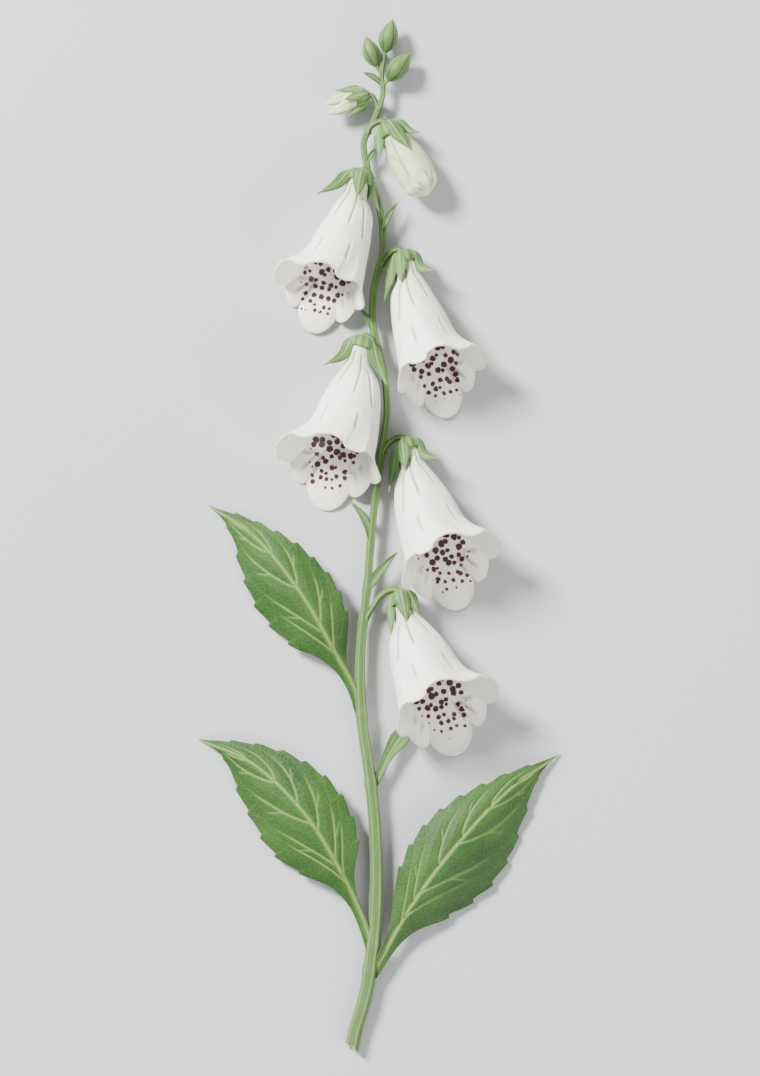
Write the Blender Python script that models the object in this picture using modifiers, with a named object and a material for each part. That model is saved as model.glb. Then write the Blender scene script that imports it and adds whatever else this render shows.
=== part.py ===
# Foxglove flower spike: a cut stem with five open bells, two drooping buds, three tight buds,
# bracts and three leaves. It lies on its side on the plane z = 0, stem along +Y, and the upper
# side of every flower faces +Z. Blender 4.5. Tables are in millimetres, objects in metres.

import math

import bmesh
import bpy
import numpy as np
from mathutils import Matrix, Vector

MM = 0.001
SPIKE_NAME = "foxglove_spike"
SEAT_GAP = 0.33  # between a piece and what carries it
SOLVER = "MANIFOLD"  # EXACT loses pieces where thin sepals meet their cup

# The stem's middle line from the cut end to the top, and its radius there: x, y, z, radius.
STEM_LINE = [
    (-8.6, -156.6, 2.1, 2.1),
    (-7.1, -149.4, 2.2, 2.1),
    (-4.2, -139.6, 2.5, 2.1),
    (-2.4, -128.4, 2.8, 2.1),
    (-0.8, -110.0, 3.2, 2.0),
    (-1.1, -90.3, 3.6, 1.85),
    (-2.6, -73.3, 3.8, 1.75),
    (-5.1, -55.4, 3.9, 1.65),
    (-5.5, -34.5, 3.9, 1.45),
    (-3.6, -16.0, 3.8, 1.3),
    (-1.7, 6.4, 3.8, 1.15),
    (0.5, 24.0, 3.8, 1.1),
    (2.5, 38.5, 3.8, 1.1),
    (1.4, 50.6, 3.8, 1.05),
    (-1.8, 64.2, 3.8, 1.05),
    (-1.6, 74.8, 3.8, 1.05),
    (1.2, 88.0, 3.9, 1.0),
    (0.0, 100.6, 3.6, 1.0),
    (-3.8, 113.0, 3.5, 0.95),
    (-4.6, 120.0, 3.9, 0.9),
    (-1.5, 126.8, 4.4, 0.85),
    (1.1, 134.5, 4.5, 0.8),
    (0.7, 140.5, 4.6, 0.75),
    (1.4, 145.4, 4.7, 0.7),
]
CUT_POINT = (-8.4, -155.7)  # where the slanted cut crosses the middle line
CUT_FACING = (-0.72, -1.0)

# A bell is measured along its axis from the tip of the calyx (0) and round it as an angle:
# 0 points away from the stem, 90 up, 180 to the stem and 270 to the ground.
NECK_LENGTH = 9.0
NECK = [(2.1, 2.2), (3.8, 2.85), (7.0, 2.95), (9.0, 3.25)]  # along, radius
TUBE = [(0.0, 3.25), (0.14, 6.2), (0.3, 8.1), (0.5, 9.5), (0.75, 10.7), (1.0, 12.2)]
FLARE_START = 0.6  # share of the tube's length
FLARE_DEPTH = 4.1
FLARE_POWER = 2.4
FLARE_LESS_ABOVE = 0.7  # part of the flare that the upper lip lacks
BELL_WALL = 0.7
LIP_TURN = 262.0  # angle of the middle of the lower lip
# How far along the axis the lip's edge lies, by angle from the middle of the lower lip.
LIP_REACH = [
    (0.0, 47.7),
    (28.0, 45.6),
    (52.0, 42.4),
    (73.0, 41.6),
    (90.0, 39.9),
    (106.0, 38.5),
    (123.0, 37.9),
    (142.0, 38.3),
    (180.0, 38.6),
]
# Lobes of the lip, by angle from the middle of the lower lip: middle, half width, height.
LOBES = [
    (0.0, 24.0, 4.6),
    (36.0, 12.0, 1.7),
    (-36.0, 12.0, 1.7),
    (80.0, 32.0, 0.8),
    (-80.0, 32.0, 0.8),
    (146.0, 14.0, 0.9),
    (-146.0, 14.0, 1.1),
]
UPPER_NOTCH = (180.0, 30.0, 1.9)  # angle from the lower lip, half width, depth
SIDE_SHIFT = 2.0  # the tube hangs this much nearer the stem than its lip
SHIFT_IN = 14.0  # the shift is whole here along the axis
SHIFT_OUT = (30.0, 39.0)  # and goes back between these two
GROUND_SOFTNESS = 0.8  # how gently a petal bends where it meets the ground

# name: calyx tip (x, y, z), lean from straight down (right is positive), rise of the axis
# towards the mouth, length and width against the largest bell.
FLOWERS = {
    "flower_1": ((-5.0, 111.4, 5.5), -20.0, 10.5, 0.95, 0.90),
    "flower_2": ((7.0, 86.9, 5.0), 18.0, 11.0, 0.965, 0.90),
    "flower_3": ((-4.4, 61.0, 5.0), -16.0, 12.0, 0.99, 1.02),
    "flower_4": ((7.8, 30.0, 5.0), 20.5, 12.0, 1.0, 1.0),
    "flower_5": ((6.0, -16.2, 4.9), 22.5, 12.0, 0.97, 1.04),
}
# Each flower's stalk, from the middle of the stem to the calyx.
STALKS = {
    "flower_1": [(-2.4, 108.6, 3.6), (-3.0, 110.6, 4.9), (-4.6, 111.4, 5.6)],
    "flower_2": [(0.6, 82.6, 3.9), (2.6, 85.2, 4.5), (5.0, 87.0, 5.0), (6.8, 87.0, 5.2)],
    "flower_3": [(-0.9, 58.0, 3.8), (-2.2, 60.3, 4.8), (-4.1, 60.9, 5.2)],
    "flower_4": [(0.8, 25.4, 3.8), (3.0, 28.5, 4.5), (5.6, 30.1, 5.0), (7.6, 30.1, 5.2)],
    "flower_5": [
        (-4.6, -25.5, 3.8),
        (-2.0, -21.5, 4.2),
        (0.8, -17.6, 4.6),
        (3.6, -16.1, 4.9),
        (5.8, -16.1, 5.1),
    ],
}
CUP = [(-0.3, 0.0), (0.2, 2.1), (1.2, 3.2), (2.6, 3.85), (4.2, 3.9)]  # along, radius
CUP_WALL = 0.5
CUP_FLOOR = 1.3  # thickness at the closed end of the cup
STALK_RADIUS = 0.9
# Sepals: angle, how far the tip is along the axis and out from it.
SEPALS = [
    (26.0, 12.6, 11.5),
    (108.0, 10.6, 5.4),
    (154.0, 14.2, 10.4),
    (235.0, 10.6, 5.0),
    (300.0, 10.6, 5.2),
]
SEPAL_HALF_WIDTH = 2.15
SEPAL_THICKNESS = 0.5

# Stamens and pistil, in the bell's own lengths.
STAMEN_RING = (8.2, 1.85, 0.26)  # along, radius of the ring, radius of its cord
STAMENS = [(15.0, -3.7, 22.5), (50.0, -1.9, 28.0), (130.0, 1.9, 28.0), (165.0, 3.7, 22.5)]
STAMEN_RISE = 5.6
FILAMENT_RADIUS = 0.26
ANTHER_SIZE = (1.5, 0.85, 0.7)
PISTIL = [(1.4, 0.0), (1.5, 0.9), (3.2, 1.35), (5.6, 0.95), (7.6, 0.4), (8.4, 0.0)]
STYLE = [(0.0, 6.5), (0.9, 12.0), (4.0, 19.0), (6.6, 26.0), (7.6, 31.0)]  # up, along
STYLE_RADIUS = 0.26

# Leaves: middle rib from the stem to the tip, then the wide and the narrow half's widths at the stations.
LEAF_STATIONS = (0.0, 0.12, 0.16, 0.2, 0.24, 0.28, 0.32, 0.38, 0.44, 0.5, 0.57, 0.64, 0.7, 0.76, 0.82, 0.88, 0.94, 1.0)
LEAVES = {
    "leaf_upper_left": (
        [(-5.6, -53.0), (-7.4, -46.5), (-13.2, -35.4), (-24.8, -15.5), (-39.6, 1.7), (-52.3, 9.8)],
        (1.6, 2.2, 2.4, 3.1, 4.4, 6.5, 8.9, 11.1, 12.5, 13.0, 13.0, 11.8, 10.4, 8.4, 5.6, 2.8, 0.9, 0.0),
        (0.4, 0.5, 0.9, 2.1, 3.8, 5.9, 7.5, 8.9, 9.7, 9.8, 9.0, 7.9, 6.4, 4.7, 3.3, 2.1, 1.0, 0.0),
    ),
    "leaf_lower_left": (
        [(-2.0, -125.0), (-4.6, -117.0), (-12.4, -100.0), (-24.5, -81.4), (-40.2, -67.5), (-55.1, -61.5)],
        (1.9, 2.0, 2.2, 2.9, 4.0, 5.9, 8.4, 11.7, 13.9, 14.6, 14.5, 13.1, 11.8, 9.8, 7.0, 3.1, 0.9, 0.0),
        (0.6, 0.7, 0.8, 1.3, 2.3, 4.1, 6.5, 9.4, 10.9, 11.6, 11.6, 10.5, 9.0, 6.9, 4.9, 3.0, 1.6, 0.0),
    ),
    "leaf_lower_right": (
        [(-2.6, -133.0), (1.4, -126.0), (9.6, -111.6), (25.1, -91.0), (40.6, -75.5), (55.0, -66.1)],
        (2.1, 2.9, 3.8, 5.3, 7.6, 9.9, 11.5, 13.9, 15.1, 15.9, 15.3, 14.2, 11.9, 9.3, 6.5, 3.0, 0.9, 0.0),
        (0.8, 1.3, 1.9, 3.0, 4.6, 6.2, 7.6, 9.1, 10.2, 10.5, 10.1, 8.7, 7.1, 5.1, 3.7, 2.2, 1.1, 0.0),
    ),
}
# The rib's height, by share of its length.
RIB_HEIGHT = [(0.0, 3.6), (0.12, 4.3), (0.35, 8.0), (0.55, 8.8), (0.8, 5.2), (1.0, 0.45)]
LEAF_DROOP = (3.6, 6.6)  # at the narrow edge and at the wide edge, where a half is 14 wide
DROOP_WIDTH = 14.0
LEAF_THICKNESS = 0.7
ENTIRE_ROWS = [0.0, 0.08, 0.16, 0.2, 0.24]  # the foot of the blade has no teeth
TEETH = 8
TEETH_START = 0.285
TEETH_END = 0.895
TOOTH_HEIGHT = 1.0
TOOTH_TIP = 0.9  # how far along its pitch a tooth's tip is
SMALL_TEETH_FROM = 0.8
SMALL_TOOTH = 0.6  # height of the last teeth against the others

# Bracts: foot, tip (x, y, z), half width and how far the middle bows to the left on the way to the tip.
BRACTS = {
    "bract_1": ((-0.8, -75.5, 3.8), (10.5, -56.0, 1.6), 2.7, 1.5),
    "bract_2": ((-3.6, -16.0, 3.8), (5.5, -4.6, 4.6), 1.4, 0.5),
    "bract_3": ((-2.4, -2.0, 3.8), (-8.8, 10.9, 2.4), 1.2, -1.7),
    "bract_4": ((-1.6, 62.2, 3.8), (-5.4, 69.2, 3.0), 1.0, -0.4),
    "bract_5": ((1.0, 92.0, 4.0), (5.5, 101.4, 4.6), 1.0, 0.7),
    "bract_6": ((-4.1, 113.2, 3.6), (-0.7, 118.4, 3.4), 0.75, 0.2),
    "bract_7": ((0.6, 137.6, 4.6), (-4.9, 140.9, 4.9), 0.85, -0.5),
}
BRACT_OUTLINE = [(0.0, 0.6), (0.3, 0.95), (0.5, 1.0), (0.8, 0.5), (1.0, 0.0)]
BROAD_OUTLINE = [(0.0, 0.3), (0.25, 0.45), (0.51, 0.68), (0.78, 1.0), (0.92, 0.55), (1.0, 0.0)]
BROAD_BRACT = 2.0  # from this half width on, a bract is widest near its tip
BRACT_THICKNESS = 0.5
BRACT_ARCH = 0.7
BRACT_HOLLOW = 0.35  # how much the edges stand above the middle

# Drooping buds: the bud's profile (along, radius), its stalk and its sepals.
RIGHT_BUD = [
    (1.6, 0.0),
    (1.7, 1.9),
    (4.0, 2.9),
    (8.0, 4.3),
    (13.5, 5.6),
    (19.3, 5.5),
    (23.6, 3.5),
    (25.4, 0.0),
]
RIGHT_BUD_STALK = [(-3.6, 122.6, 4.3), (-2.7, 124.3, 4.8), (-1.0, 125.6, 5.2), (1.5, 126.0, 5.5)]
RIGHT_BUD_SEPALS = [
    (20.0, 9.2, 7.5),
    (80.0, 11.6, 6.5),
    (155.0, 9.6, 8.9),
    (228.0, 9.0, 5.7),
    (300.0, 9.0, 5.7),
]
LEFT_BUD = [
    (1.6, 0.0),
    (1.7, 1.2),
    (3.4, 1.7),
    (6.0, 2.5),
    (9.0, 2.9),
    (11.6, 2.1),
    (13.6, 0.0),
]
LEFT_BUD_STALK = [(-0.1, 129.6, 4.5), (-1.1, 132.2, 4.8), (-2.0, 133.7, 5.0), (-3.0, 134.2, 5.1)]
LEFT_BUD_SEPALS = [
    (10.0, 9.7, 4.4),
    (80.0, 8.2, 4.0),
    (165.0, 8.6, 4.6),
    (225.0, 8.0, 3.6),
    (300.0, 8.0, 3.6),
]
# name: calyx tip, lean, rise, profile, stalk, sepals, size of the calyx.
DROOPING_BUDS = {
    "right_bud": (
        (1.8, 126.0, 5.4),
        33.5,
        3.0,
        RIGHT_BUD,
        RIGHT_BUD_STALK,
        RIGHT_BUD_SEPALS,
        1.0,
    ),
    "left_bud": (
        (-2.9, 134.2, 5.0),
        -72.0,
        0.0,
        LEFT_BUD,
        LEFT_BUD_STALK,
        LEFT_BUD_SEPALS,
        0.7,
    ),
}
# Tight buds at the top: foot on the stem, foot of the bud, tip, and greatest radius.
TOP_BUDS = {
    "top_bud_middle": ((1.4, 145.4, 4.7), (1.7, 146.6, 4.8), (4.2, 157.2, 5.2), 2.85),
    "top_bud_left": ((0.9, 140.8, 4.6), (-0.6, 142.4, 4.7), (-4.1, 152.0, 4.9), 2.6),
    "top_bud_right": ((0.9, 136.8, 4.6), (2.4, 138.2, 4.8), (9.5, 146.8, 5.2), 2.9),
}
# Along and radius of a tight bud, against its length and its greatest radius.
BUD_PROFILE = [
    (0.0, 0.0),
    (0.02, 0.3),
    (0.2, 0.76),
    (0.45, 1.0),
    (0.7, 0.78),
    (0.9, 0.3),
    (1.0, 0.0),
]
BUD_STALK_RADIUS = 0.6

BELL_COLUMNS = 30
NECK_ROWS = 2
TUBE_ROWS = 7
ROUND_SIDES = 8
STEM_RINGS = 44
SAME_POINT = 1e-4  # points nearer than this are one, before a turned shape is placed

COLOURS = {
    "stem": ((0.22, 0.33, 0.14), 0.7),
    "calyx": ((0.25, 0.38, 0.17), 0.7),
    "petal": ((0.90, 0.88, 0.82), 0.55),
    "stamen": ((0.85, 0.74, 0.42), 0.7),
    "leaf": ((0.13, 0.25, 0.10), 0.65),
    "bud": ((0.55, 0.62, 0.36), 0.6),
}


def smoothstep(x):
    x = min(max(x, 0.0), 1.0)
    return x * x * (3.0 - 2.0 * x)


def eased(points, x):
    """Value at x on a smooth curve through (x, value) points; a value may be a row of numbers."""
    xs = np.array([p[0] for p in points], float)
    ys = np.array([p[1] for p in points], float)
    slopes = np.gradient(ys, xs, axis=0)
    x = min(max(x, xs[0]), xs[-1])
    i = min(int(np.searchsorted(xs, x, side="right")) - 1, len(xs) - 2)
    step = xs[i + 1] - xs[i]
    u = (x - xs[i]) / step
    start = (1 + 2 * u) * (1 - u) ** 2 * ys[i] + u * (1 - u) ** 2 * step * slopes[i]
    end = u * u * (3 - 2 * u) * ys[i + 1] + u * u * (u - 1) * step * slopes[i + 1]
    return start + end


def by_length(points):
    """The points as (share of the length, point), for eased."""
    rows = np.array(points, float)
    steps = np.linalg.norm(np.diff(rows[:, :2], axis=0), axis=1)
    along = np.concatenate([[0.0], np.cumsum(steps)]) / steps.sum()
    return list(zip(along, rows))


def material(kind):
    found = bpy.data.materials.get(kind)
    if found:
        return found
    colour, roughness = COLOURS[kind]
    made = bpy.data.materials.new(kind)
    made.use_nodes = True
    shader = made.node_tree.nodes["Principled BSDF"]
    shader.inputs["Base Color"].default_value = (*colour, 1.0)
    shader.inputs["Roughness"].default_value = roughness
    shader.inputs["Metallic"].default_value = 0.0
    return made


def add_object(name, mesh, kind=None):
    """A named object of the part; with no kind of material it is a cutter or only a step."""
    made = bpy.data.objects.new(name, mesh)
    if kind:
        mesh.materials.clear()
        mesh.materials.append(material(kind))
    COLLECTIONS["part" if kind else "cutters"].objects.link(made)
    return made


def face_outwards(bm):
    bmesh.ops.recalc_face_normals(bm, faces=bm.faces)
    if bm.calc_volume(signed=True) < 0.0:
        bmesh.ops.reverse_faces(bm, faces=bm.faces)


def drop_slivers(bm):
    """Leaves only the largest connected piece."""
    left = set(bm.verts)
    pieces = []
    while left:
        piece = []
        reached = [left.pop()]
        while reached:
            vert = reached.pop()
            piece.append(vert)
            near = {edge.other_vert(vert) for edge in vert.link_edges} & left
            left -= near
            reached += near
        pieces.append(piece)
    pieces.sort(key=len)
    for piece in pieces[:-1]:
        bmesh.ops.delete(bm, geom=piece, context="VERTS")


def mesh_from(bm, name):
    face_outwards(bm)
    mesh = bpy.data.meshes.new(name)
    bm.to_mesh(mesh)
    bm.free()
    mesh.shade_smooth()
    return mesh


def evaluated(thing, name, merge=True):
    """The object's evaluated mesh as a new mesh; the object is removed."""
    bpy.context.view_layer.update()
    depsgraph = bpy.context.evaluated_depsgraph_get()
    mesh = bpy.data.meshes.new_from_object(thing.evaluated_get(depsgraph))
    mesh.name = name
    bpy.data.objects.remove(thing)
    bm = bmesh.new()
    bm.from_mesh(mesh)
    if merge:
        bmesh.ops.remove_doubles(bm, verts=bm.verts, dist=0.001 * MM)
    else:
        drop_slivers(bm)
    face_outwards(bm)
    bm.to_mesh(mesh)
    bm.free()
    return mesh


def tube_mesh(name, line, count, resolution=1):
    """A round stalk along smooth (x, y, z, radius) points, closed at both ends."""
    curve = bpy.data.curves.new(name, "CURVE")
    curve.dimensions = "3D"
    curve.bevel_depth = MM
    curve.bevel_resolution = resolution
    curve.use_fill_caps = True
    spline = curve.splines.new("POLY")
    spline.points.add(count - 1)
    smooth = by_length(line)
    for i, point in enumerate(spline.points):
        x, y, z, radius = eased(smooth, i / (count - 1))
        point.co = (x * MM, y * MM, z * MM, 1.0)
        point.radius = radius
    return evaluated(add_object(name, curve), name)


def turned(name, profile, columns, place, closed=False):
    """A solid turned from (along, radius) points and put in place by place(angle, radius, along)."""
    bm = bmesh.new()
    verts = [bm.verts.new((radius, 0.0, along)) for along, radius in profile]
    edges = [bm.edges.new(pair) for pair in zip(verts, verts[1:])]
    if closed:
        edges.append(bm.edges.new((verts[-1], verts[0])))
    bmesh.ops.spin(
        bm,
        geom=verts + edges,
        cent=(0, 0, 0),
        axis=(0, 0, 1),
        angle=math.tau,
        steps=columns,
        use_merge=True,
    )
    bmesh.ops.remove_doubles(bm, verts=bm.verts, dist=SAME_POINT)
    for vert in bm.verts:
        angle = math.degrees(math.atan2(vert.co.y, vert.co.x))
        vert.co = place(angle, math.hypot(vert.co.x, vert.co.y), vert.co.z)
    return mesh_from(bm, name)


def blade_mesh(name, columns, rows, place, thickness):
    """A thin closed blade: place(across, share) gives its middle surface, across from -1 to 1."""
    bm = bmesh.new()
    bmesh.ops.create_grid(bm, x_segments=columns, y_segments=len(rows) - 1, size=1.0)
    for vert in bm.verts:
        row = round((vert.co.y + 1.0) / 2.0 * (len(rows) - 1))
        vert.co = place(vert.co.x, rows[row], row)
    bmesh.ops.remove_doubles(bm, verts=bm.verts, dist=0.01 * MM)
    bmesh.ops.recalc_face_normals(bm, faces=bm.faces)
    thing = add_object(name, mesh_from(bm, name))
    wall = thing.modifiers.new("wall", "SOLIDIFY")
    wall.thickness = thickness * MM
    wall.offset = 0.0
    return evaluated(thing, name)


def united(name, meshes, kind, cutter=None):
    """One body from overlapping closed meshes, cut clear of the stem if a cutter is given."""
    things = [add_object(f"{name}_{i}", mesh) for i, mesh in enumerate(meshes)]
    for other in things[1:]:
        join = things[0].modifiers.new("join", "BOOLEAN")
        join.operation = "UNION"
        join.solver = SOLVER
        join.object = other
    if cutter:
        cut = things[0].modifiers.new("clear_of_stem", "BOOLEAN")
        cut.operation = "DIFFERENCE"
        cut.solver = SOLVER
        cut.object = cutter
    mesh = evaluated(things[0], name, merge=False)
    for other in things[1:]:
        bpy.data.objects.remove(other)
    return add_object(name, mesh, kind)


def bell_frame(tip, lean, rise):
    """Columns are away from the stem, up and along the axis; the calyx tip is the place."""
    lean, rise = math.radians(lean), math.radians(rise)
    side = math.copysign(1.0, lean)
    down = Vector((math.sin(lean), -math.cos(lean), 0.0))
    out = Vector((math.cos(lean), math.sin(lean), 0.0)) * side
    along = down * math.cos(rise) + Vector((0, 0, math.sin(rise)))
    up = Vector((0, 0, math.cos(rise))) - down * math.sin(rise)
    turn = Matrix((out, up, along)).transposed().to_4x4()
    return Matrix.Translation(Vector(tip) * MM) @ turn


def in_frame(frame, shift=SIDE_SHIFT):
    """place(angle, radius, along) of a bell, with its gentle bend towards the stem."""

    def place(angle, radius, along):
        back = (along - SHIFT_OUT[0]) / (SHIFT_OUT[1] - SHIFT_OUT[0])
        bend = smoothstep(along / SHIFT_IN) * (1.0 - smoothstep(back))
        out = radius * math.cos(math.radians(angle)) - shift * bend
        up = radius * math.sin(math.radians(angle))
        return frame @ (Vector((out, up, along)) * MM)

    return place


def lip_reach(angle):
    """How far along the axis the lip's edge is at this angle, for the largest bell."""
    turn = (angle - LIP_TURN + 180.0) % 360.0 - 180.0
    reach = eased(LIP_REACH, abs(turn))
    for middle, half, height in LOBES:
        off = abs((turn - middle + 180.0) % 360.0 - 180.0) / half
        if off < 1.0:
            reach += height * math.sqrt(1.0 - off * off)
    off = abs((turn - UPPER_NOTCH[0] + 180.0) % 360.0 - 180.0) / UPPER_NOTCH[1]
    if off < 1.0:
        reach -= UPPER_NOTCH[2] * (1.0 - off * off) ** 2
    return reach


def bell_point(place, angle, share, length, width):
    """A point on the outside of the bell: share 0 is the foot of the neck and 1 the lip's edge."""
    neck_share = NECK_ROWS / (NECK_ROWS + TUBE_ROWS)
    if share <= neck_share:
        along = NECK[0][0] + (NECK_LENGTH - NECK[0][0]) * share / neck_share
        return place(angle, eased(NECK, along), along)
    q = (share - neck_share) / (1.0 - neck_share)
    along = NECK_LENGTH + (lip_reach(angle) * length - NECK_LENGTH) * q
    radius = eased(TUBE, q) * (1.0 + (width - 1.0) * smoothstep(q * 3.0))
    opening = max(0.0, (q - FLARE_START) / (1.0 - FLARE_START)) ** FLARE_POWER
    upward = max(0.0, math.sin(math.radians(angle)))
    radius += FLARE_DEPTH * width * opening * (1.0 - FLARE_LESS_ABOVE * upward)
    return place(angle, radius, along)


def rest_on_ground(point):
    """Soft petals flatten where they would sink below the ground."""
    soft = GROUND_SOFTNESS * MM
    point.z = 0.5 * (point.z + math.sqrt(point.z * point.z + soft * soft))
    return point


def faces_leave_axis(mesh, frame):
    """Whether an open tube's faces point away from the frame's axis."""
    back = frame.inverted()
    turn = back.to_3x3()
    total = 0.0
    for face in mesh.polygons:
        out = (back @ face.center).to_2d()
        total += out.dot((turn @ face.normal).to_2d())
    return total > 0.0


def make_corolla(name, frame, length, width):
    place = in_frame(frame)
    rows = NECK_ROWS + TUBE_ROWS
    profile = [(i / rows, 1.0) for i in range(rows + 1)]

    def put(angle, _, share):
        return rest_on_ground(bell_point(place, angle + LIP_TURN, share, length, width))

    mesh = turned(name, profile, BELL_COLUMNS, put)
    if not faces_leave_axis(mesh, frame):
        mesh.flip_normals()
    made = add_object(name, mesh, "petal")
    wall = made.modifiers.new("wall", "SOLIDIFY")
    wall.thickness = BELL_WALL * MM
    wall.offset = -1.0
    return made


def sepal_mesh(name, place, sepal, size):
    angle, tip_along, tip_out = sepal
    line = [
        (0.0, (0.4, 1.5)),
        (0.2, (1.5, 3.55 * size)),
        (0.6, (tip_along * 0.55, 4.1 * size + (tip_out - 4.1 * size) * 0.4)),
        (1.0, (tip_along, tip_out)),
    ]
    outline = [(0.0, 0.8), (0.3, 1.0), (0.55, 0.85), (0.8, 0.42), (1.0, 0.0)]

    def put(across, share, _):
        along, radius = eased(line, share)
        offset = across * SEPAL_HALF_WIDTH * size * eased(outline, share)
        return place(angle + math.degrees(offset / radius), radius, along)

    return blade_mesh(name, 2, [0.0, 0.3, 0.65, 1.0], put, SEPAL_THICKNESS)


def make_calyx(name, place, stalk, sepals, size, cutter):
    outer = [(along, radius * size) for along, radius in CUP]
    inner = [
        (along + CUP_FLOOR * (1.0 - i / (len(CUP) - 1)), max(radius - CUP_WALL, 0.0))
        for i, (along, radius) in enumerate(outer)
    ]
    cup = turned(name, outer + inner[::-1], ROUND_SIDES, place)
    blades = [sepal_mesh(name, place, sepal, size) for sepal in sepals]
    line = [(*point, STALK_RADIUS * size) for point in stalk]
    return united(name, [cup, *blades, tube_mesh(name, line, 6)], "calyx", cutter)


def make_stamens(name, place, length, width):
    along, ring, cord = STAMEN_RING
    loop = [
        (along + cord * math.sin(turn), ring + cord * math.cos(turn))
        for turn in (math.tau * i / 4 for i in range(4))
    ]
    pieces = [turned(name, loop, ROUND_SIDES, place, closed=True)]
    for angle, side, reach in STAMENS:
        start = Vector((ring * math.cos(math.radians(angle)), ring * math.sin(math.radians(angle))))
        end = Vector((-side, STAMEN_RISE)) * width
        line = []
        for share in (0.0, 0.35, 0.7, 1.0):
            rise = start.lerp(end, smoothstep(share * 0.5 + 0.5 * share * share))
            turn = math.degrees(math.atan2(rise.y, rise.x))
            point = place(turn, rise.length, along + (reach * length - along) * share)
            line.append((*(point / MM), FILAMENT_RADIUS))
        pieces.append(tube_mesh(name, line, 4))
        pieces.append(anther_mesh(name, line[-1][:3]))
    return united(name, pieces, "stamen")


def anther_mesh(name, centre):
    bm = bmesh.new()
    bmesh.ops.create_uvsphere(bm, u_segments=6, v_segments=4, radius=MM)
    bmesh.ops.scale(bm, vec=ANTHER_SIZE, verts=bm.verts)
    bmesh.ops.translate(bm, vec=Vector(centre) * MM, verts=bm.verts)
    return mesh_from(bm, name)


def make_pistil(name, place, length, width):
    ovary = turned(name, PISTIL, 6, place)
    line = []
    for up, along in STYLE:
        point = place(90.0, up * width, along * (length if along > NECK_LENGTH else 1.0))
        line.append((*(point / MM), STYLE_RADIUS))
    return united(name, [ovary, tube_mesh(name, line, 6)], "bud")


def make_leaf(name, rib, wide_half, narrow_half, cutter):
    smooth = by_length(rib)
    wide_curve = list(zip(LEAF_STATIONS, wide_half))
    narrow_curve = list(zip(LEAF_STATIONS, narrow_half))
    pitch = (TEETH_END - TEETH_START) / TEETH
    rows = list(ENTIRE_ROWS)
    for tooth in range(TEETH):
        rows += [TEETH_START + tooth * pitch, TEETH_START + (tooth + TOOTH_TIP) * pitch]
    rows += [TEETH_END, 1.0]
    wide_side = math.copysign(1.0, rib[-1][0]) * -1.0

    def put(across, share, row):
        point = eased(smooth, share)
        ahead = eased(smooth, min(share + 0.01, 1.0)) - eased(smooth, max(share - 0.01, 0.0))
        left = Vector((-ahead[1], ahead[0])).normalized()
        wide = across * wide_side > 0
        half = eased(wide_curve if wide else narrow_curve, share)
        notched = share >= TEETH_START and share < TEETH_END
        if abs(across) > 0.99 and notched and (row - len(ENTIRE_ROWS)) % 2 == 1:
            half += TOOTH_HEIGHT * (1.0 if share < SMALL_TEETH_FROM else SMALL_TOOTH)
        droop = LEAF_DROOP[1] if wide else LEAF_DROOP[0]
        height = eased(RIB_HEIGHT, share)
        height -= droop * (half / DROOP_WIDTH) * abs(across) ** 1.5
        flat = Vector((point[0], point[1])) + left * (across * half)
        return Vector((flat.x, flat.y, max(height, LEAF_THICKNESS / 2))) * MM

    return united(name, [blade_mesh(name, 4, rows, put, LEAF_THICKNESS)], "leaf", cutter)


def make_bract(name, foot, tip, half_width, bow, cutter):
    foot, tip = Vector(foot), Vector(tip)
    ahead = (tip - foot).to_2d().normalized()
    left = Vector((-ahead.y, ahead.x, 0.0))
    outline = BROAD_OUTLINE if half_width >= BROAD_BRACT else BRACT_OUTLINE

    def put(across, share, _):
        aside = bow * math.sin(math.pi * share) + across * half_width * eased(outline, share)
        point = foot.lerp(tip, share) + left * aside
        point.z += BRACT_ARCH * math.sin(math.pi * share) + BRACT_HOLLOW * abs(across)
        return point * MM

    rows = [0.0, 0.2, 0.4, 0.6, 0.8, 1.0]
    return united(name, [blade_mesh(name, 2, rows, put, BRACT_THICKNESS)], "calyx", cutter)


def make_top_bud(name, root, foot, tip, radius, cutter):
    foot, tip = Vector(foot), Vector(tip)
    axis = tip - foot
    turn = axis.to_track_quat("Z", "Y").to_matrix()

    def put(angle, out, along):
        around = Vector((math.cos(math.radians(angle)), math.sin(math.radians(angle)), 0.0))
        return (foot + turn @ (around * out * radius + Vector((0, 0, along * axis.length)))) * MM

    body = turned(name, BUD_PROFILE, ROUND_SIDES, put)
    joint = foot.lerp(tip, 0.12)
    middle = Vector(root).lerp(foot, 0.5)
    stalk = [(*point, BUD_STALK_RADIUS) for point in (root, middle, joint)]
    return united(name, [body, tube_mesh(name, stalk, 4)], "bud", cutter)


def make_stem():
    mesh = tube_mesh("stem", STEM_LINE, STEM_RINGS, resolution=2)
    bm = bmesh.new()
    bm.from_mesh(mesh)
    plane = Vector((*CUT_POINT, 0.0)) * MM
    found = bmesh.ops.bisect_plane(
        bm,
        geom=bm.verts[:] + bm.edges[:] + bm.faces[:],
        plane_co=plane,
        plane_no=(*CUT_FACING, 0.0),
        clear_outer=True,
    )
    rim = [item for item in found["geom_cut"] if isinstance(item, bmesh.types.BMEdge)]
    bmesh.ops.edgenet_fill(bm, edges=rim)
    face_outwards(bm)
    bm.to_mesh(mesh)
    bm.free()
    return add_object("stem", mesh, "stem")


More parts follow.
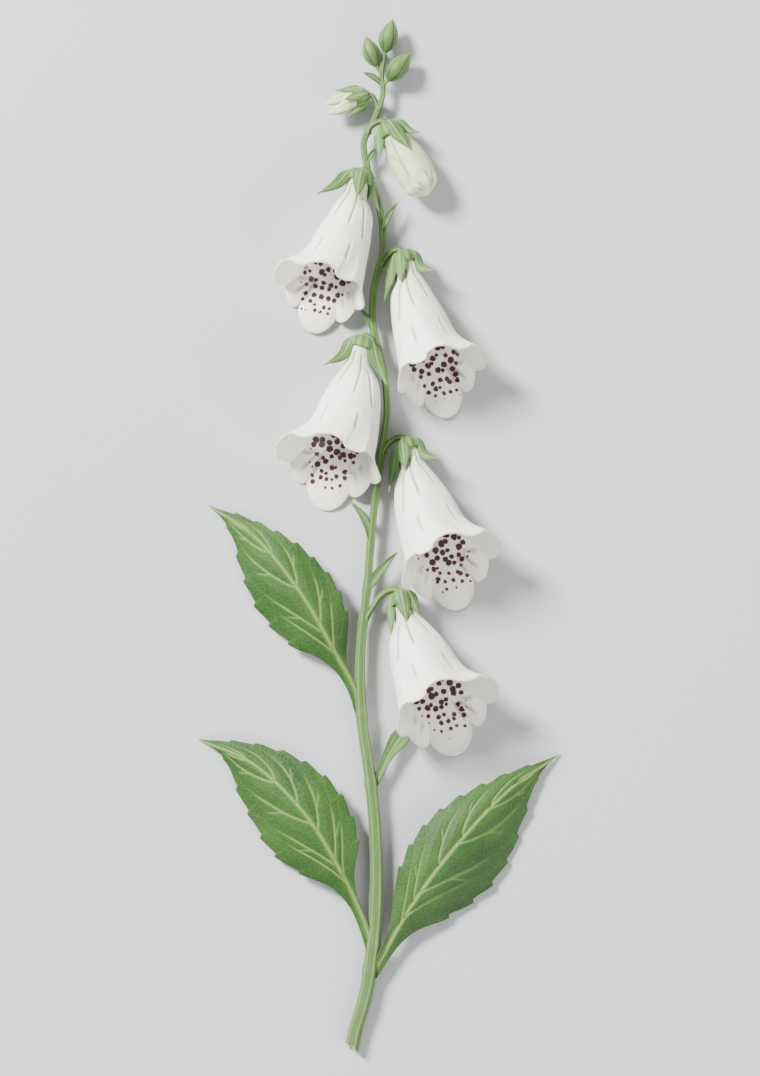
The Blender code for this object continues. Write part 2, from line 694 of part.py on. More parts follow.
def make_cutter():
    end = Vector(STEM_LINE[-1][:3])
    beyond = end + (end - Vector(STEM_LINE[-2][:3])).normalized() * SEAT_GAP
    line = STEM_LINE[:-1] + [(*beyond, STEM_LINE[-1][3])]
    wider = [(x, y, z, radius + SEAT_GAP) for x, y, z, radius in line]
    name = "stem_clearance"
    cutter = add_object(name, tube_mesh(name, wider, STEM_RINGS, resolution=2))
    cutter.hide_render = True
    cutter.display_type = "WIRE"
    return cutter


def make_flower(name, cutter):
    tip, lean, rise, length, width = FLOWERS[name]
    frame = bell_frame(tip, lean, rise)
    place = in_frame(frame)
    make_calyx(f"{name}_calyx", place, STALKS[name], SEPALS, 1.0, cutter)
    make_corolla(f"{name}_corolla", frame, length, width)
    make_stamens(f"{name}_stamens", place, length, width)
    make_pistil(f"{name}_pistil", place, length, width)


def make_drooping_bud(name, cutter):
    tip, lean, rise, profile, stalk, sepals, size = DROOPING_BUDS[name]
    place = in_frame(bell_frame(tip, lean, rise), shift=0.0)
    make_calyx(f"{name}_calyx", place, stalk, sepals, size, cutter)
    add_object(f"{name}_petals", turned(f"{name}_petals", profile, ROUND_SIDES + 2, place), "bud")


for old in list(bpy.data.objects):
    bpy.data.objects.remove(old)
COLLECTIONS = {}
for key, title in (("part", SPIKE_NAME), ("cutters", "cutters")):
    COLLECTIONS[key] = bpy.data.collections.new(title)
    bpy.context.scene.collection.children.link(COLLECTIONS[key])

make_stem()
clearance = make_cutter()
for flower in FLOWERS:
    make_flower(flower, clearance)
for bud in DROOPING_BUDS:
    make_drooping_bud(bud, clearance)
for bud, values in TOP_BUDS.items():
    make_top_bud(bud, *values, clearance)
for leaf, values in LEAVES.items():
    make_leaf(leaf, *values, clearance)
for bract, values in BRACTS.items():
    make_bract(bract, *values, clearance)
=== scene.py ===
import math

import bmesh
import bpy
import numpy as np
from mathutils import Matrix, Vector


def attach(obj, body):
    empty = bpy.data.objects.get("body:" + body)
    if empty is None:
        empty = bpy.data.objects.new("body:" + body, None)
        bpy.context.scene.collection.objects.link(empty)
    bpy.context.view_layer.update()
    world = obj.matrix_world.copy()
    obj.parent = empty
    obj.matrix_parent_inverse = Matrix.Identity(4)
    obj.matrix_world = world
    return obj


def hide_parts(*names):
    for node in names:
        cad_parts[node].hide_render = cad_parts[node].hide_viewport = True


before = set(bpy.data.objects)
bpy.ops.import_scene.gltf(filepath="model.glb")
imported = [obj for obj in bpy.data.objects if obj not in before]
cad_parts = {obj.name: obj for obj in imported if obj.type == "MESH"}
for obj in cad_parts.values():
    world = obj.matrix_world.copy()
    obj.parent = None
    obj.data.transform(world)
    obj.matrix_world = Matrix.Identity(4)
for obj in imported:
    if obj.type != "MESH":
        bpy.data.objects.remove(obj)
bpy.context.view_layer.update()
mm = 0.001


def smoothStep(x):
    x = np.clip(x, 0.0, 1.0)
    return x * x * (3.0 - 2.0 * x)


# A soft hump of height one, about this wide to each side.
def hump(x, width):
    return np.exp(-((x / width) ** 2))


# Smooth curve through (x, value) points, for numbers or arrays.
def curveThrough(points):
    xs = np.array([p[0] for p in points], float)
    ys = np.array([p[1] for p in points], float)
    slopes = np.gradient(ys, xs, axis=0)

    def at(x):
        x = np.clip(np.asarray(x, float), xs[0], xs[-1])
        i = np.clip(np.searchsorted(xs, x, side="right") - 1, 0, len(xs) - 2)
        step = xs[i + 1] - xs[i]
        u = (x - xs[i]) / step
        if ys.ndim > 1:
            u, step = u[..., None], step[..., None]
        start = (1 + 2 * u) * (1 - u) ** 2 * ys[i] + u * (1 - u) ** 2 * step * slopes[i]
        end = u * u * (3 - 2 * u) * ys[i + 1] + u * u * (u - 1) * step * slopes[i + 1]
        return start + end

    return at


# The same for values at even steps from 0 to 1.
def evenCurve(values):
    return curveThrough([(i / (len(values) - 1), value) for i, value in enumerate(values)])


# The same for a line in space, read by its share of the length.
def lineThrough(points):
    rows = np.array(points, float)
    steps = np.linalg.norm(np.diff(rows[:, :2], axis=0), axis=1)
    shares = np.concatenate([[0.0], np.cumsum(steps)]) / steps.sum()
    return curveThrough(list(zip(shares, rows)))


def unit(v):
    return v / np.maximum(np.linalg.norm(v, axis=-1, keepdims=True), 1e-9)


# Which way a line runs at each share of its length.
def headingOn(line, s, step):
    return unit(line(np.minimum(s + step, 1.0)) - line(np.maximum(s - step, 0.0)))


# A grid bent into shape. place(a, s) takes a from -1 to 1 and s from 0 to 1 and gives
# points in millimetres and a mark from 0 to 1, which the materials read.
def bentSheet(across, along, place):
    bm = bmesh.new()
    uv = bm.loops.layers.uv.new("UVMap")
    markLayer = bm.verts.layers.float.new("mark")
    bmesh.ops.create_grid(bm, x_segments=across, y_segments=along, size=1.0)
    for face in bm.faces:
        face.smooth = True
        for loop in face.loops:
            loop[uv].uv = ((loop.vert.co.x + 1.0) / 2.0, (loop.vert.co.y + 1.0) / 2.0)
    flat = np.array([vert.co[:2] for vert in bm.verts])
    points, marks = place(flat[:, 0], (flat[:, 1] + 1.0) / 2.0)
    for vert, point, mark in zip(bm.verts, points * mm, marks):
        vert.co = point
        vert[markLayer] = mark
    bmesh.ops.remove_doubles(bm, verts=bm.verts, dist=0.002 * mm)
    return bm


# A tube along a line of (x, y, z) with its own cross-section. radius(s, turn) in millimetres.
def tubeSheet(line, radius, columns, rows, mark=None):
    def middle(s):
        return line(s)[:, :3]

    def place(a, s):
        turn = a * math.pi
        ahead = headingOn(middle, s, 0.004)
        side = unit(np.stack([ahead[:, 1], -ahead[:, 0], np.zeros(len(s))], axis=1))
        up = np.cross(side, ahead)
        reach = radius(s, turn)[:, None]
        points = middle(s) + side * np.cos(turn)[:, None] * reach + up * np.sin(turn)[:, None] * reach
        return points, np.zeros(len(s)) if mark is None else mark(s, turn)

    return bentSheet(columns, rows, place)


def closeEnds(bm):
    rims = [edge for edge in bm.edges if edge.is_boundary]
    if rims:
        bmesh.ops.holes_fill(bm, edges=rims, sides=0)


def closedShell(bm):
    closeEnds(bm)
    bmesh.ops.recalc_face_normals(bm, faces=bm.faces)
    return bm


# Turns an open sheet's faces so that their sum follows the wanted side.
def faceTowards(bm, wanted):
    bmesh.ops.recalc_face_normals(bm, faces=bm.faces)
    total = 0.0
    for face in bm.faces:
        total += face.normal.dot(wanted(face.calc_center_median())) * face.calc_area()
    if total < 0.0:
        bmesh.ops.reverse_faces(bm, faces=bm.faces)


# Gives an open sheet its thickness, away from a point inside it.
def thickShell(bm, base, thickness):
    faceTowards(bm, lambda c: c - Vector(base) * mm)
    bmesh.ops.solidify(bm, geom=bm.faces[:], thickness=thickness * mm)
    bmesh.ops.recalc_face_normals(bm, faces=bm.faces)
    for face in bm.faces:
        face.smooth = True
    return bm


def meshFrom(name, bm):
    mesh = bpy.data.meshes.new(name)
    bm.to_mesh(mesh)
    bm.free()
    return mesh


def joined(shells):
    bm = shells[0]
    for shell in shells[1:]:
        mesh = meshFrom("joined", shell)
        bm.from_mesh(mesh)
        bpy.data.meshes.remove(mesh)
    return bm


def addObject(name, data):
    made = bpy.data.objects.new(name, data)
    bpy.context.scene.collection.objects.link(made)
    return made


def addPiece(name, bm, materials, nodes):
    piece = addObject(name, meshFrom(name, bm))
    for material in materials:
        piece.data.materials.append(material)
    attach(piece, "root")
    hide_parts(*nodes)
    return piece


def addWall(piece, thickness, insideSlot=0, offset=-1.0):
    wall = piece.modifiers.new("wall", "SOLIDIFY")
    wall.thickness = thickness * mm
    wall.offset = offset
    wall.material_offset = insideSlot
    wall.material_offset_rim = 0


def roundEdge(piece, width, angle):
    bevel = piece.modifiers.new("round", "BEVEL")
    bevel.width = width * mm
    bevel.segments = 2
    bevel.limit_method = "ANGLE"
    bevel.angle_limit = math.radians(angle)


def addNode(tree, kind, inputs=None, **settings):
    made = tree.nodes.new(kind)
    for key, value in settings.items():
        setattr(made, key, value)
    for key, value in (inputs or {}).items():
        if isinstance(value, bpy.types.NodeSocket):
            tree.links.new(value, made.inputs[key])
        else:
            made.inputs[key].default_value = value
    return made


def mathNode(tree, operation, a, b=0.0):
    return addNode(tree, "ShaderNodeMath", {0: a, 1: b}, operation=operation).outputs[0]


def product(tree, first, *others):
    for other in others:
        first = mathNode(tree, "MULTIPLY", first, other)
    return first


def vectorNode(tree, operation, a, b):
    second = "Scale" if operation == "SCALE" else 1
    return addNode(tree, "ShaderNodeVectorMath", {0: a, second: b}, operation=operation).outputs[0]


def axisOf(tree, vector, axis):
    return addNode(tree, "ShaderNodeSeparateXYZ", {0: vector}).outputs[axis]


# Object coordinates or the piece's own map.
def coordinatesOf(tree, kind):
    return addNode(tree, "ShaderNodeTexCoord").outputs[kind]


def marksOf(tree):
    return addNode(tree, "ShaderNodeAttribute", attribute_name="mark").outputs["Fac"]


def mixColour(tree, factor, a, b):
    made = addNode(tree, "ShaderNodeMix", data_type="RGBA")
    for index, value in ((0, factor), (6, a), (7, b)):
        if isinstance(value, bpy.types.NodeSocket):
            tree.links.new(value, made.inputs[index])
        elif index == 0:
            made.inputs[index].default_value = value
        else:
            made.inputs[index].default_value = (*value, 1.0)
    return made.outputs[2]


def mapRange(tree, value, low, high, start=0.0, end=1.0, smooth=False):
    made = addNode(
        tree,
        "ShaderNodeMapRange",
        {"Value": value, "From Min": low, "From Max": high, "To Min": start, "To Max": end},
        interpolation_type="SMOOTHSTEP" if smooth else "LINEAR",
    )
    return made.outputs["Result"]


# Lays a tint over a colour, from nothing at low to its full strength at high.
def tinted(tree, colour, texture, low, high, strength, tint, smooth=False):
    return mixColour(tree, mapRange(tree, texture, low, high, 0.0, strength, smooth), colour, tint)


def noiseOn(tree, vector, scale, detail=3.0, roughness=0.5, stretch=(1.0, 1.0, 1.0)):
    mapped = addNode(tree, "ShaderNodeMapping", {"Vector": vector, "Scale": stretch})
    made = addNode(
        tree,
        "ShaderNodeTexNoise",
        {"Vector": mapped.outputs[0], "Scale": scale, "Detail": detail, "Roughness": roughness},
    )
    return made.outputs["Fac"]


white = (1.0, 1.0, 1.0)


def startMaterial(name, roughness, sheen=0.0, sheenTint=white, subsurface=0.0, specular=0.5):
    material = bpy.data.materials.new(name)
    material.use_nodes = True
    values = {
        "Roughness": roughness,
        "Sheen Weight": sheen,
        "Sheen Roughness": 0.45,
        "Sheen Tint": (*sheenTint, 1.0),
        "Specular IOR Level": specular,
        "Subsurface Weight": subsurface,
        "Subsurface Radius": (1.0, 0.8, 0.6),
        "Subsurface Scale": 0.0012,
    }
    for key, value in values.items():
        material.node_tree.nodes["Principled BSDF"].inputs[key].default_value = value
    return material, material.node_tree


# Ends a material with its colour and its bumps: height, strength, depth in millimetres.
def finishMaterial(material, colour, bumps):
    tree = material.node_tree
    shader = tree.nodes["Principled BSDF"]
    tree.links.new(colour, shader.inputs["Base Color"])
    normal = None
    for height, strength, depth in bumps:
        values = {"Height": height, "Strength": strength, "Distance": depth * mm}
        bump = addNode(tree, "ShaderNodeBump", values)
        if normal:
            tree.links.new(normal, bump.inputs["Normal"])
        normal = bump.outputs[0]
    tree.links.new(normal, shader.inputs["Normal"])
    return material


def softLook(roughness, colour, patchTint, grain, patchSize):
    return {
        "surface": (roughness, 0.15, white, 0.1),
        "textures": {
            "patches": ("Object", patchSize, 3.0, 0.6),
            "grain": ("Object", grain, 2.0, 0.7),
        },
        "base": colour,
        "layers": [("patches", 0.35, 0.7, 1.0, patchTint)],
        "bumps": [("grain", 0.6, 0.12)],
    }


# fold: the darker tint of the veins and patches, and the painted shade in the seams and creases that the
# marks carry
def budLook(down, colour, tip, fold):
    return {
        "surface": (0.55, down, (0.92, 0.96, 0.86), 0.08),
        "textures": {
            "veins": ("UV", 1.0, 3.0, 0.55, (38.0, 3.0, 1.0)),
            "patches": ("Object", 220.0, 3.0),
            "down": ("Object", 4200.0, 2.0, 0.7),
        },
        "base": colour,
        "layers": [
            ("length", 0.2, 0.95, 1.0, tip),
            ("patches", 0.4, 0.75, 0.35, fold),
            ("veins", 0.5, 0.72, 0.35, fold),
            # painted shade in the seams and creases
            ("marks", 0.0, 1.0, 0.92, fold),
        ],
        "bumps": [("veins", 0.4, 0.25), ("down", 0.4, 0.08)],
    }


# The plain skins. surface: roughness, sheen and its tint, light under the skin. textures: lying on
# the object or its own map, with size, detail, roughness and stretch. layers over the base colour:
# texture, from, to, strength and tint. bumps: texture, strength and depth in millimetres.
skins = {
    "stemSkin": {
        "surface": (0.62, 0.2, (0.86, 0.92, 0.8), 0.0),
        "textures": {
            "fibres": ("UV", 1.0, 4.0, 0.6, (46.0, 26.0, 1.0)),
            "patches": ("Object", 55.0, 3.0),
            "down": ("Object", 5200.0, 2.0, 0.7),
        },
        "base": (0.036, 0.100, 0.013),
        "layers": [
            ("fibres", 0.35, 0.75, 0.6, (0.16, 0.26, 0.065)),
            ("patches", 0.55, 0.8, 0.45, (0.12, 0.055, 0.03)),
            ("marks", 0.0, 1.0, 0.75, (0.16, 0.26, 0.065)),
        ],
        "bumps": [("fibres", 0.5, 0.25), ("down", 0.55, 0.12)],
    },
    "sepalSkin": {
        "surface": (0.6, 0.2, (0.88, 0.94, 0.82), 0.0),
        "textures": {
            "veins": ("UV", 1.0, 3.0, 0.55, (17.0, 3.0, 1.0)),
            "patches": ("Object", 160.0, 3.0),
            "down": ("Object", 5600.0, 2.0, 0.7),
        },
        "base": (0.025, 0.080, 0.010),
        "layers": [
            ("patches", 0.3, 0.72, 1.0, (0.062, 0.145, 0.024)),
            ("veins", 0.5, 0.75, 0.5, (0.062, 0.145, 0.024)),
            ("marks", 0.0, 1.0, 0.85, (0.24, 0.36, 0.11)),
        ],
        "bumps": [("veins", 0.45, 0.3), ("down", 0.5, 0.1)],
    },
    "drawnBudSkin": budLook(0.25, (0.52, 0.60, 0.27), (0.80, 0.79, 0.58), (0.19, 0.27, 0.08)),
    "tightBudSkin": budLook(0.2, (0.060, 0.150, 0.020), (0.15, 0.25, 0.045), (0.005, 0.019, 0.002)),
    "filamentSkin": softLook(0.5, (0.82, 0.80, 0.66), (0.74, 0.74, 0.56), 3000.0, 400.0),
    "antherSkin": softLook(0.8, (0.78, 0.52, 0.10), (0.88, 0.74, 0.30), 4500.0, 1500.0),
    "styleSkin": softLook(0.55, (0.62, 0.68, 0.38), (0.46, 0.56, 0.24), 3000.0, 350.0),
    "cutFace": softLook(0.5, (0.62, 0.66, 0.42), (0.44, 0.52, 0.24), 2600.0, 1300.0),
}


def skinMaterial(name, look):
    material, tree = startMaterial(name, *look["surface"])
    textures = {"marks": marksOf(tree), "length": axisOf(tree, coordinatesOf(tree, "UV"), "Y")}
    for key, (space, *settings) in look["textures"].items():
        textures[key] = noiseOn(tree, coordinatesOf(tree, space), *settings)
    colour = look["base"]
    for key, *layer in look["layers"]:
        colour = tinted(tree, colour, textures[key], *layer)
    return finishMaterial(material, colour, [(textures[key], *bump) for key, *bump in look["bumps"]])


leafLook = {
    "green": (0.012, 0.050, 0.006),
    "light": (0.032, 0.092, 0.012),
    "vein": (0.16, 0.27, 0.065),
    "underside": (0.10, 0.18, 0.055),
    "roughness": 0.62,
    "down": 0.04,
    "downUnder": 0.25,
    "netSize": 820.0,
    "netShow": 0.15,
    "netHeight": 0.09,
}


def leafMaterial(name, under):
    down = leafLook["downUnder"] if under else leafLook["down"]
    material, tree = startMaterial(name, leafLook["roughness"], down, (0.9, 0.96, 0.86), specular=0.3)
    place = coordinatesOf(tree, "Object")
    patches = noiseOn(tree, place, 70.0, 4.0)
    fine = noiseOn(tree, place, 900.0, 3.0, 0.6)
    hairs = noiseOn(tree, place, 4800.0, 2.0, 0.7)
    # the net of small veins wanders a little
    wander = addNode(tree, "ShaderNodeTexNoise", {"Vector": place, "Scale": 260.0}).outputs["Color"]
    bent = addNode(tree, "ShaderNodeMix", {"Factor": 0.0012, "A": place, "B": wander}, data_type="VECTOR")
    net = addNode(
        tree,
        "ShaderNodeTexVoronoi",
        {"Vector": bent.outputs[1], "Scale": leafLook["netSize"]},
        feature="DISTANCE_TO_EDGE",
    ).outputs["Distance"]
    base, other = leafLook["green"], leafLook["light"]
    if under:
        base = other = leafLook["underside"]
    colour = tinted(tree, base, patches, 0.3, 0.7, 1.0, other)
    colour = tinted(tree, colour, net, 0.1, 0.0, leafLook["netShow"], leafLook["vein"])
    colour = tinted(tree, colour, fine, 0.55, 0.8, 0.25, leafLook["light"])
    colour = mixColour(tree, marksOf(tree), colour, leafLook["vein"])
    netRise = mapRange(tree, net, 0.0, 0.28, smooth=True)
    bumps = [(netRise, 0.5, leafLook["netHeight"]), (fine, 0.3, 0.12), (hairs, 0.3, 0.06)]
    return finishMaterial(material, colour, bumps)


petalLook = {
    "white": (0.90, 0.885, 0.83),
    "cream": (0.82, 0.80, 0.66),
    "green": (0.50, 0.60, 0.27),
    # grey-green of the fine long veins, and the painted shade along the folds
    "fold": (0.20, 0.205, 0.13),
    # painted shade line along the edge of the lip
    "rim": (0.66, 0.65, 0.50),
    "throat": (0.82, 0.73, 0.72),
    "spot": (0.026, 0.004, 0.010),
    "spotEdge": (0.19, 0.028, 0.065),
    # the spots stand this far apart in millimetres, in a fan from the throat to the lower lobe
    "spacing": 2.3,
    "scatter": 0.72,
    "fanSide": 1.0,
    "fanWidth": (9.3, 4.7),
    "fanFrom": 29.0,
    "fanTo": 48.0,
    "fanEdge": (0.86, 1.14),
    # how far before the fan they begin, and how far past its end they stop
    "fadeIn": (-13.0, -5.0),
    "fadeOut": (-0.6, 1.4),
    # only the floor of the bell is spotted: the share of the way round from its middle
    "floorEdge": (0.155, 0.19),
    "spotSize": (1.2, 0.7),
    "spotVariety": (0.62, 1.12),
    "ragged": 0.3,
}


# The white skin that both sides of a petal share: green at the foot, fine long veins, painted shade along
# the folds and a painted shade line at the lip's edge.
def petalGround(tree, greenFrom, greenTo):
    uv = coordinatesOf(tree, "UV")
    down = axisOf(tree, uv, "Y")
    veins = noiseOn(tree, uv, 1.0, 3.0, 0.55, (95.0, 5.0, 1.0))
    patches = noiseOn(tree, coordinatesOf(tree, "Object"), 95.0, 3.0)
    colour = tinted(tree, petalLook["white"], patches, 0.35, 0.7, 1.0, petalLook["cream"])
    colour = mixColour(tree, 0.35, colour, petalLook["white"])
    foot = mapRange(tree, down, greenFrom, greenTo, 0.75, 0.0, True)
    colour = mixColour(tree, foot, colour, petalLook["green"])
    colour = tinted(tree, colour, veins, 0.52, 0.72, 0.22, petalLook["fold"])
    # a painted shade line along the edge of the lip
    colour = tinted(tree, colour, down, 0.975, 0.998, 0.55, petalLook["rim"])
    # painted shade along the folds
    colour = tinted(tree, colour, marksOf(tree), 0.0, 1.0, 0.85, petalLook["fold"])
    return veins, colour


def petalOutsideMaterial():
    material, tree = startMaterial("petalOutside", 0.5, 0.12, subsurface=0.18)
    veins, colour = petalGround(tree, 0.10, 0.42)
    place = coordinatesOf(tree, "Object")
    grain = noiseOn(tree, place, 3600.0, 2.0, 0.6)
    ripple = noiseOn(tree, place, 330.0, 3.0, 0.5)
    return finishMaterial(material, colour, [(veins, 0.4, 0.25), (ripple, 0.3, 0.5), (grain, 0.3, 0.06)])


# Spots are dealt out in the bell's own plane, so they stay round as they are seen from above.
def petalInsideMaterial(name, tip, lean, length, shift):
    material, tree = startMaterial(name, 0.46, 0.1, subsurface=0.15)
    veins, colour = petalGround(tree, 0.15, 0.5)
    place, uv = coordinatesOf(tree, "Object"), coordinatesOf(tree, "UV")
    spacing = petalLook["spacing"]
    onPlane = addNode(
        tree,
        "ShaderNodeMapping",
        {
            "Vector": place,
            "Location": (tip[0] * mm, tip[1] * mm, 0.0),
            "Rotation": (0.0, 0.0, math.radians(lean)),
            "Scale": (spacing * mm, spacing * mm, spacing * mm),
        },
        vector_type="TEXTURE",
    ).outputs[0]
    wander = addNode(tree, "ShaderNodeTexNoise", {"Vector": place, "Scale": 1100.0, "Detail": 2.0})
    wander = vectorNode(tree, "SUBTRACT", wander.outputs["Color"], (0.5, 0.5, 0.5))
    wander = vectorNode(tree, "SCALE", wander, petalLook["ragged"])
    moved = vectorNode(tree, "ADD", onPlane, (*shift, 0.0))
    spots = addNode(
        tree,
        "ShaderNodeTexVoronoi",
        {"Vector": vectorNode(tree, "ADD", moved, wander), "Scale": 1.0, "Randomness": petalLook["scatter"]},
        voronoi_dimensions="2D",
        feature="F1",
    )
    # where each spot's own middle is: how far down the bell, and how far from the fan's middle line
    middle = vectorNode(tree, "SUBTRACT", spots.outputs["Position"], (*shift, 0.0))
    down = product(tree, axisOf(tree, middle, "Y"), -spacing)
    aside = product(tree, axisOf(tree, middle, "X"), spacing)
    aside = mathNode(tree, "ADD", aside, math.copysign(1.0, lean) * petalLook["fanSide"])
    first, last = petalLook["fanFrom"] * length, petalLook["fanTo"] * length
    fan = mapRange(tree, down, first, last, *petalLook["fanWidth"])
    ofFan = mathNode(tree, "DIVIDE", mathNode(tree, "ABSOLUTE", aside), fan)
    fadeIn = [first + off for off in petalLook["fadeIn"]]
    fadeOut = [last + off for off in petalLook["fadeOut"]]
    chance = addNode(tree, "ShaderNodeSeparateColor", {0: spots.outputs["Color"]}).outputs[0]
    size = product(
        tree,
        mapRange(tree, ofFan, *petalLook["fanEdge"], 1.0, 0.0),
        mapRange(tree, down, first, last, *petalLook["spotSize"]),
        mapRange(tree, down, *fadeIn),
        mapRange(tree, down, *fadeOut, 1.0, 0.0),
        mapRange(tree, chance, 0.0, 1.0, *petalLook["spotVariety"]),
    )
    inside = mathNode(tree, "SUBTRACT", size, product(tree, spots.outputs["Distance"], spacing))
    # how far round from the middle of the floor
    off = mathNode(tree, "ABSOLUTE", mathNode(tree, "SUBTRACT", axisOf(tree, uv, "X"), 0.5))
    floorPart = mapRange(tree, off, *petalLook["floorEdge"], 1.0, 0.0)
    spot = product(tree, mapRange(tree, inside, -0.04, 0.06, smooth=True), floorPart)
    core = mapRange(tree, inside, 0.08, 0.28, smooth=True)
    throat = product(
        tree,
        mapRange(tree, axisOf(tree, uv, "Y"), 0.5, 0.9, 0.6, 0.0, True),
        mapRange(tree, off, 0.08, 0.26, 1.0, 0.0, True),
    )
    colour = mixColour(tree, throat, colour, petalLook["throat"])
    colour = mixColour(tree, spot, colour, mixColour(tree, core, petalLook["spotEdge"], petalLook["spot"]))
    grain = noiseOn(tree, place, 3600.0, 2.0, 0.6)
    return finishMaterial(material, colour, [(veins, 0.3, 0.2), (spot, 0.15, 0.1), (grain, 0.3, 0.06)])


skin = {name: skinMaterial(name, look) for name, look in skins.items()}
leafSides = [leafMaterial("leafTop", False), leafMaterial("leafUnderside", True)]
petalOutside = petalOutsideMaterial()
print("materials ready")


stem = {
    "line": [
        (-9.45, -161.0, 2.1, 2.1), (-8.6, -156.6, 2.1, 2.1), (-7.1, -149.4, 2.2, 2.1),
        (-4.2, -139.6, 2.5, 2.1), (-2.4, -128.4, 2.8, 2.1), (-0.8, -110.0, 3.2, 2.0),
        (-1.1, -90.3, 3.6, 1.85), (-2.6, -73.3, 3.8, 1.75), (-5.1, -55.4, 3.9, 1.65),
        (-5.5, -34.5, 3.9, 1.45), (-3.6, -16.0, 3.8, 1.3), (-1.7, 6.4, 3.8, 1.15),
        (0.5, 24.0, 3.8, 1.1), (2.5, 38.5, 3.8, 1.1), (1.4, 50.6, 3.8, 1.05),
        (-1.8, 64.2, 3.8, 1.05), (-1.6, 74.8, 3.8, 1.05), (1.2, 88.0, 3.9, 1.0),
        (0.0, 100.6, 3.6, 1.0), (-3.8, 113.0, 3.5, 0.95), (-4.6, 120.0, 3.9, 0.9),
        (-1.5, 126.8, 4.4, 0.85), (1.1, 134.5, 4.5, 0.8), (0.7, 140.5, 4.6, 0.75),
        (1.4, 145.4, 4.7, 0.7),
    ],
    "columns": 48,
    "rows": 600,
    "groove": 0.87,
    "ridges": 5,
    "ridgeHeight": 0.22,
    # heights along +Y where a leaf, stalk or bract leaves the stem, and how it swells there
    "nodes": [-124, -132, -75, -54, -26, -16, -3, 25, 58, 62, 82, 92, 108, 113, 122, 130, 137, 141],
    "swelling": 0.14,
    "swellingLength": 0.006,
    # the slanted cut, hollowed over the width of the stem below endFrom
    "cutPoint": (-8.4, -155.35),
    "cutFacing": (-0.72, -1.0),
    "cutHollow": 1.0,
    "endFrom": -151.0,
    "endRadius": 2.1,
    "endHeading": (0.2, 1.0),
    # a firm rim, then a hollow of softer pith: width and depth of each step inwards
    "cutSteps": [(0.12, 0.0), (0.32, 0.0), (0.4, -0.35)],
    "lowest": 0.02,
}


def ridgeAt(s, turn):
    phase = stem["ridges"] * turn + 0.6 + 2.2 * np.sin(3.0 * s)
    return (0.5 + 0.5 * np.cos(phase)) ** 4


def makeStem():
    line = lineThrough(stem["line"])
    shares = np.linspace(0.0, 1.0, stem["rows"])
    nodeShares = np.interp(stem["nodes"], line(shares)[:, 1], shares)

    def radius(s, turn):
        swell = sum(hump(s - node, stem["swellingLength"]) for node in nodeShares)
        ridges = stem["ridgeHeight"] * ridgeAt(s, turn)
        return line(s)[:, 3] * (stem["groove"] + ridges + stem["swelling"] * swell)

    bm = tubeSheet(line, radius, stem["columns"], stem["rows"], mark=ridgeAt)
    for vert in bm.verts:
        vert.co.z = max(vert.co.z, stem["lowest"] * mm)
    closeEnds(bm)
    plane = Vector((*stem["cutPoint"], 0.0)) * mm
    facing = Vector((*stem["cutFacing"], 0.0)).normalized()
    upStem = Vector((*stem["endHeading"], 0.0)).normalized()
    aside = Vector((upStem.y, -upStem.x, 0.0))

    # the cut is hollowed across: the end is pushed out by the hollow, cut flat and let back
    def slide(way):
        for vert in bm.verts:
            if vert.co.y < stem["endFrom"] * mm:
                off = (vert.co - plane).dot(aside) / (stem["endRadius"] * mm)
                vert.co += upStem * way * stem["cutHollow"] * mm * max(1.0 - off * off, 0.0)

    slide(-1.0)
    everything = bm.verts[:] + bm.edges[:] + bm.faces[:]
    bmesh.ops.bisect_plane(bm, geom=everything, plane_co=plane, plane_no=facing, clear_outer=True)
    before = set(bm.faces)
    closeEnds(bm)
    cap = [face for face in bm.faces if face not in before]
    for width, depth in stem["cutSteps"]:
        bmesh.ops.inset_region(bm, faces=cap, thickness=width * mm, depth=depth * mm)
    for face in bm.faces:
        if face not in before:
            face.material_index = 1
            face.smooth = False
    bmesh.ops.poke(bm, faces=cap)
    slide(1.0)
    bmesh.ops.recalc_face_normals(bm, faces=bm.faces)
    addPiece("stem_skin", bm, [skin["stemSkin"], skin["cutFace"]], ["stem"])


makeStem()
print("stem made")


